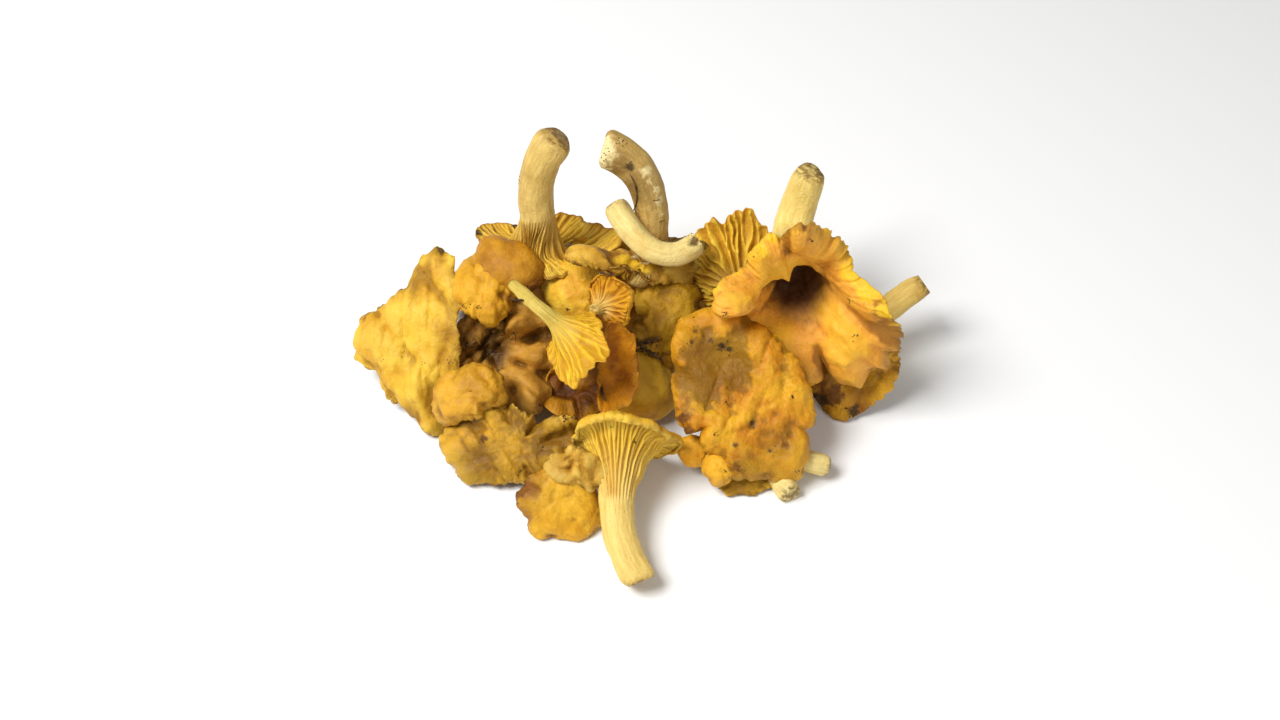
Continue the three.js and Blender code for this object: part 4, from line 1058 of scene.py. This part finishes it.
def forest_soil():
    """Dry forest soil and bits of needle and root: nearly black brown, quite matt, a little paler
    from crumb to crumb."""
    material = blank_material("dry forest soil")
    tree = material.node_tree
    place = add(tree, "ShaderNodeTexCoord", {}, {}).outputs["Object"]
    shade = add(tree, "ShaderNodeTexNoise", {}, {"Vector": place, "Scale": 450.0, "Detail": 2.0}).outputs[0]
    dry = add(tree, "ShaderNodeMapRange", {}, {"Value": shade, "From Min": 0.4, "From Max": 0.7}).outputs[0]
    colour = layered(tree, linear("#33220F"), (((dry,), linear("#76552A")),))
    soil = {"Base Color": colour, "Roughness": 0.9, "IOR": 1.45}
    soil = add(tree, "ShaderNodeBsdfPrincipled", {}, soil)
    add(tree, "ShaderNodeOutputMaterial", {}, {"Surface": soil.outputs[0]})
    return material


def white_table():
    """A white laminate table top: even, almost white and quite matt."""
    material = blank_material("white laminate")
    tree = material.node_tree
    laminate = {"Base Color": linear("#F7F7F6"), "Roughness": 0.75, "IOR": 1.45}
    laminate = add(tree, "ShaderNodeBsdfPrincipled", {}, laminate)
    add(tree, "ShaderNodeOutputMaterial", {}, {"Surface": laminate.outputs[0]})
    return material


# ---- Soil crumbs and plant threads ----

# Where crumbs lie on a mushroom's top or on another part of it: [direction, share of the way,
# spread in mm, count, length in mm, length over width].
CRUMBS = {
    "left_broad": ((358, 0.21, 3.5, 8, 0.6, 1.5), (50, 0.34, 3, 9, 0.6, 1.5), (327, 0.59, 1.5, 4, 0.7, 1.5),
        (180, 0.67, 3, 16, 0.5, 1.5), (100, 0.95, 2, 8, 0.6, 1.5), (83, 0.85, 2, 8, 0.7, 1.5),
        (34, 0.7, 3, 8, 0.6, 1.5), (0, 0.95, 4, 24, 0.9, 1.6)),
    "hollow_brown": ((257, 0.59, 2.5, 16, 1.6, 1.5), (45, 0.08, 2.2, 18, 1.8, 1.4),
        (157, 0.25, 4, 50, 1.2, 1.6), (113, 0.48, 3, 10, 0.6, 1.5), (65, 0.79, 1.5, 6, 1, 1.5),
        (38, 0.97, 3, 12, 0.9, 1.5)),
    "left_lobe": ((309, 0.63, 2.5, 16, 1.1, 1.5), (337, 0.48, 1.2, 8, 0.9, 1.3)),
    "pale_button": ((340, 0.56, 1.2, 6, 0.9, 1.5),),
    "small_band": ((196, 0.04, 1, 4, 0.9, 1.8), (51, 0.63, 2, 5, 0.5, 1.5)),
    "rolled_edge": ((157, 1, 3, 10, 0.8, 1.8),),
    "lower_left": ((128, 0.94, 4, 26, 1.2, 1.5), (273, 0.41, 2, 16, 0.5, 1.5), (97, 0.44, 1, 3, 0.9, 1.3),
        (15, 0.81, 3, 12, 0.7, 1.5)),
    "front_ridged under": ((205, 0.46, 1.5, 6, 1.1, 1.4), (174, 0.62, 1, 4, 0.8, 1.3)),
    "right_broad": ((186, 0.56, 3.2, 24, 1.3, 3.5), (178, 0.5, 2.5, 14, 1, 2.5),
        (200, 0.7, 3.5, 14, 1, 3), (216, 0.74, 3, 12, 0.8, 2.5), (279, 0.16, 1.5, 4, 0.7, 1.5),
        (27, 0.27, 2.2, 9, 0.8, 1.9), (38, 0.62, 3.5, 9, 0.6, 2.4), (25, 0.64, 4, 7, 0.6, 2),
        (357, 0.77, 4, 9, 0.6, 2.2), (8, 0.84, 4, 7, 0.6, 2.2), (88, 0.7, 0.8, 4, 1.3, 1.4),
        (294, 0.92, 3, 7, 0.7, 1.8), (33, 0.92, 2, 10, 0.8, 1.4), (319, 0.63, 2, 8, 0.7, 1.8)),
    "torn_mid": ((333, 0.81, 4, 30, 1.4, 2.2), (340, 0.96, 3, 20, 1.2, 2)),
    "olive_dome": ((168, 0.81, 4, 30, 1.4, 2.2),),
    "button_b": ((51, 0.33, 1, 3, 0.8, 1.3),),
    "button_a": ((30, 0.5, 3, 6, 0.6, 1.3),),
    "under_right": ((293, 0.85, 3, 10, 0.7, 1.5),),
    "funnel": ((269, 0.87, 1.2, 6, 1, 1.3), (218, 0.98, 3, 10, 0.7, 1.5), (93, 0.7, 2, 10, 1, 1.6),
        (170, 0.9, 1.2, 7, 1, 1.3), (59, 0.66, 1.5, 6, 0.8, 1.6), (20, 0.2, 2, 8, 1, 1.5)),
    "under_funnel": ((16, 0.92, 3, 24, 1.1, 1.6), (340, 0.95, 4, 16, 1, 1.6)),
    "curled_stem stem": ((180, 0.04, 4, 26, 0.8, 1.6), (220, 0, 4, 26, 0.8, 1.6)),
    "brown_stem stem": ((210, 0.71, 2.5, 14, 0.9, 1.9), (194, 0.97, 4, 10, 0.7, 2),
        (235, 0.97, 3, 7, 0.8, 2), (166, 0.86, 3, 12, 0.8, 1.6), (174, 0.17, 2.5, 8, 0.8, 1.9)),
    "upside_down stem": ((218, 0.41, 3, 14, 0.8, 1.6),),
}

# Threads that lie on the heap. Each is a curve from a start, pulled towards a point, to an end, and
# a thickness, all in mm.
THREADS = (
    ((-4, 44, 95), (1, 40.5, 87), (-3, 40, 78), 0.7),
    ((2, 40.5, 82.5), (4, 39.5, 85), (8, 41, 84), 0.6),
    ((-31, 37, 63), (-28, 34, 66), (-25, 32, 67), 1),
    ((-27, 36, 66), (-28, 34, 66), (-30, 32, 63), 0.9),
    ((-17, 17, 68), (-13, 15, 69.5), (-9, 15, 68.5), 0.9),
    ((-51, 9, 61.5), (-47, 6.5, 63.5), (-43, 7, 62), 1),
    ((-54, 19, 32), (-50, 17, 32), (-51, 14, 29.5), 0.6),
    ((-15, -12, 35), (-15.5, -16, 35), (-13.5, -19.5, 33), 1.3),
    ((-6, 11, 31), (2, 8, 35), (8, 10, 38), 1.7),
    ((0, 8, 33), (5, 5, 34), (9, 4, 30), 1.5),
)

THREAD_RINGS = 28
THREAD_SIDES = 8
CRUMB_SIDES = 5
CRUMB_RINGS = (-50, 0, 50)  # how high the rings of a crumb are, in degrees


def crumb_points(centres, normals, sizes, stretches, draw):
    """Irregular pebbles, one at each centre: three rings of five points and two poles, drawn out
    along the skin to a length, a width and 0.6 of the width in height, with every point moved in or
    out by up to a quarter."""
    lie = np.array(CRUMB_RINGS)[:, None] * DEG
    turn = np.arange(CRUMB_SIDES) * 2 * math.pi / CRUMB_SIDES
    rings = on_ring(turn, np.cos(lie), np.sin(lie)).reshape(-1, 3)
    ball = np.concatenate([[[0, 0, -1]], rings, [[0, 0, 1]]])
    shape = ball[None] * draw.uniform(0.75, 1.25, (len(centres), len(ball), 1))
    width = sizes / stretches
    shape = shape * np.stack([sizes, width, 0.6 * width], axis=-1)[:, None] / 2
    along = np.cross(normals, draw.normal(size=(len(centres), 3)))
    along /= np.linalg.norm(along, axis=1, keepdims=True)
    across = np.cross(normals, along)
    points = (
        shape[..., :1] * along[:, None]
        + shape[..., 1:2] * across[:, None]
        + (shape[..., 2:] + 0.15 * width[:, None, None]) * normals[:, None]
    )
    points = points + centres[:, None]
    return np.concatenate([points[:, 1:-1], points[:, :1], points[:, -1:]], axis=1)


def thread_points(start, pull, end, thickness):
    """A round thread carried along a curve from start to end, thinner at both ends."""
    t = np.linspace(0, 1, THREAD_RINGS)[:, None]
    centre, tangent = curve(*np.array([start, pull, end], float), t)
    side = np.cross(tangent, [0.31, 0.17, 0.93])
    side /= np.linalg.norm(side, axis=1, keepdims=True)
    over = np.cross(tangent, side)
    angle = 2 * math.pi * np.arange(THREAD_SIDES) / THREAD_SIDES
    radius = thickness / 2 * (0.35 + 0.65 * np.sin(math.pi * t)) * (1 + 0.2 * np.sin(23 * t))
    round_it = np.cos(angle)[None, :, None] * side[:, None] + np.sin(angle)[None, :, None] * over[:, None]
    ring = centre[:, None] + radius[:, None] * round_it
    return np.concatenate([ring.reshape(-1, 3), centre[:1], centre[-1:]])


def litter_mesh():
    """All crumbs and threads as one mesh. Crumbs stand on points of the skins, drawn from those
    within the spread of their spot, and a fixed draw picks them."""
    draw = np.random.default_rng(11)
    rows = {row["name"]: {**PLAIN_CAP, **row} for row in RIDGED + BROAD + SMALL + STEMS}
    chosen = []
    for place, spots in CRUMBS.items():
        name, _, part = place.partition(" ")
        skin = bpy.data.objects[name + "_skin"].data
        co, normal = np.empty((2, len(skin.vertices) * 3), np.float32)
        skin.vertices.foreach_get("co", co)
        skin.vertices.foreach_get("normal", normal)
        co, normal = co.reshape(-1, 3) / MM, normal.reshape(-1, 3)
        for way, at, spread, count, size, stretch in spots:
            gap = np.linalg.norm(co - co[point_index(rows[name], part, way, at)], axis=1)
            near = np.flatnonzero(gap < spread)
            chance = np.exp(-2 * (gap[near] / spread) ** 2)
            pick = draw.choice(near, count, p=chance / chance.sum())
            sizes = size * draw.uniform(0.35, 1.0, count)
            stretches = 1 + (stretch - 1) * draw.uniform(0.3, 1, count)
            chosen.append((co[pick], normal[pick], sizes, stretches))
    crumbs = crumb_points(*(np.concatenate(each) for each in zip(*chosen)), draw)
    solids = [(crumb, len(CRUMB_RINGS), CRUMB_SIDES) for crumb in crumbs]
    for *ways, thickness in THREADS:
        solids.append((thread_points(*ways, thickness) - [*MIDDLE, 0], THREAD_RINGS, THREAD_SIDES))
    points, quads, fans, done = [], [], [], 0
    for solid, rings, sides in solids:
        quad, fan = tube_faces(rings, sides)
        points.append(solid)
        quads.append(quad + done)
        fans.append(fan + done)
        done += len(solid)
    mesh = mesh_from("litter", *(np.concatenate(each) for each in (points, quads, fans)), False)
    mesh.validate()
    return mesh


# ---- The add-on ----


class HeapSizes(bpy.types.PropertyGroup):
    """Sizes that every mushroom shares, as shares of those in its row."""

    rim: FloatProperty(name="Rim thickness", description="Times each cap's own", default=1.0, min=0.2)
    core: FloatProperty(name="Core thickness", description="Times each cap's own", default=1.0, min=0.2)
    ridge: FloatProperty(name="Ridge height", description="Times each cap's own", default=1.0, min=0.0)


class StageSizes(bpy.types.PropertyGroup):
    """The camera and the light."""

    distance: FloatProperty(
        name="Camera distance", description="From the camera to the heap", default=0.6, unit="LENGTH"
    )
    elevation: FloatProperty(
        name="Camera height", description="Angle above the table", default=50 * DEG, subtype="ANGLE"
    )
    lens: FloatProperty(name="Lens", description="Focal length in mm", default=42.19)
    power: FloatProperty(name="Main light", description="Power of the main light in watts", default=20.5)
    sky: FloatProperty(name="Room light", description="Strength of the even light", default=0.25)
    white: FloatVectorProperty(
        name="Room colour", description="Colour of the even light", subtype="COLOR", size=4,
        default=(1.0, 1.0, 1.0, 1.0), min=0, max=1,
    )


def dress(rows):
    """Makes the skin of each row's mushroom and puts it in the place of its solid."""
    for row in rows:
        m = complete(row)
        skin = bpy.data.objects.new(m["name"] + "_skin", mesh_of(m))
        bpy.context.scene.collection.objects.link(skin)
        skin.data.materials.append(flesh(m))
        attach(skin, "root")
        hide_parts(m["name"])
    return {"FINISHED"}


class HEAP_OT_ridged(bpy.types.Operator):
    """Makes the mushrooms that show their ridged undersides"""

    bl_idname = "heap.ridged"
    bl_label = "Ridged mushrooms"

    def execute(self, context):
        return dress(RIDGED)


class HEAP_OT_broad(bpy.types.Operator):
    """Makes the broad caps"""

    bl_idname = "heap.broad"
    bl_label = "Broad caps"

    def execute(self, context):
        return dress(BROAD)


class HEAP_OT_small(bpy.types.Operator):
    """Makes the small caps and buttons"""

    bl_idname = "heap.small"
    bl_label = "Small caps"

    def execute(self, context):
        return dress(SMALL)


class HEAP_OT_stems(bpy.types.Operator):
    """Makes the mushrooms of which mostly the stem shows"""

    bl_idname = "heap.stems"
    bl_label = "Stems"

    def execute(self, context):
        return dress(STEMS)


class HEAP_OT_litter(bpy.types.Operator):
    """Makes the soil crumbs and threads that cling to the skins"""

    bl_idname = "heap.litter"
    bl_label = "Soil and litter"

    def execute(self, context):
        litter = bpy.data.objects.new("litter", litter_mesh())
        context.scene.collection.objects.link(litter)
        litter.data.materials.append(forest_soil())
        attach(litter, "root")
        return {"FINISHED"}


class HEAP_OT_stage(bpy.types.Operator):
    """Makes the table top, the lights and the camera"""

    bl_idname = "heap.stage"
    bl_label = "Stage"

    def execute(self, context):
        scene, sizes = context.scene, context.scene.stage_sizes
        corners = [(x * TABLE_HALF, y * TABLE_HALF, 0) for x, y in ((-1, -1), (1, -1), (1, 1), (-1, 1))]
        table = bpy.data.meshes.new("table_top")
        table.from_pydata(corners, [], [(0, 1, 2, 3)])
        table.materials.append(white_table())
        floor = bpy.data.objects.new("table_top", table)
        scene.collection.objects.link(floor)
        scene.world = scene.world or bpy.data.worlds.new("room")
        scene.world.use_nodes = True
        even = scene.world.node_tree.nodes["Background"]
        even.inputs["Color"].default_value = sizes.white
        even.inputs["Strength"].default_value = sizes.sky
        for name, at, width, part in LAMPS:
            lamp = bpy.data.lights.new(name, "AREA")
            lamp.energy = sizes.power * part
            lamp.size = width
            light = bpy.data.objects.new(name, lamp)
            light.location = at
            x, y, z = at
            light.rotation_euler = (math.atan2(math.hypot(x, y), z), 0.0, math.atan2(x, -y))
            scene.collection.objects.link(light)
        camera = bpy.data.cameras.new("camera")
        camera.lens = sizes.lens
        camera.sensor_width = SENSOR
        eye = bpy.data.objects.new("camera", camera)
        away = sizes.distance * np.array([0.0, -math.cos(sizes.elevation), math.sin(sizes.elevation)])
        eye.location = np.array([-MIDDLE[0] * MM, -MIDDLE[1] * MM, LOOK_HEIGHT]) + away
        eye.rotation_euler = (math.pi / 2 - sizes.elevation, 0.0, 0.0)
        scene.collection.objects.link(eye)
        scene.camera = eye
        scene.view_settings.view_transform = "Standard"
        return {"FINISHED"}


class HEAP_PT_panel(bpy.types.Panel):
    """Sizes and steps of the heap"""

    bl_idname = "HEAP_PT_panel"
    bl_label = "Chanterelle heap"
    bl_space_type = "VIEW_3D"
    bl_region_type = "UI"
    bl_category = "Chanterelles"

    def draw(self, context):
        for group in (context.scene.heap_sizes, context.scene.stage_sizes):
            for name in group.bl_rna.properties.keys():
                if name not in ("rna_type", "name"):
                    self.layout.prop(group, name)
        for operator in OPERATORS:
            self.layout.operator(operator.bl_idname)


OPERATORS = (
    HEAP_OT_ridged, HEAP_OT_broad, HEAP_OT_small, HEAP_OT_stems, HEAP_OT_litter, HEAP_OT_stage
)
CLASSES = (HeapSizes, StageSizes, *OPERATORS, HEAP_PT_panel)


def register():
    for each in CLASSES:
        bpy.utils.register_class(each)
    bpy.types.Scene.heap_sizes = PointerProperty(type=HeapSizes)
    bpy.types.Scene.stage_sizes = PointerProperty(type=StageSizes)


def unregister():
    del bpy.types.Scene.stage_sizes
    del bpy.types.Scene.heap_sizes
    for each in reversed(CLASSES):
        bpy.utils.unregister_class(each)


def main():
    """Makes the whole heap in order."""
    register()
    bpy.ops.heap.ridged()
    bpy.ops.heap.broad()
    bpy.ops.heap.small()
    bpy.ops.heap.stems()
    bpy.ops.heap.litter()
    bpy.ops.heap.stage()


if __name__ == "__main__":
    main()
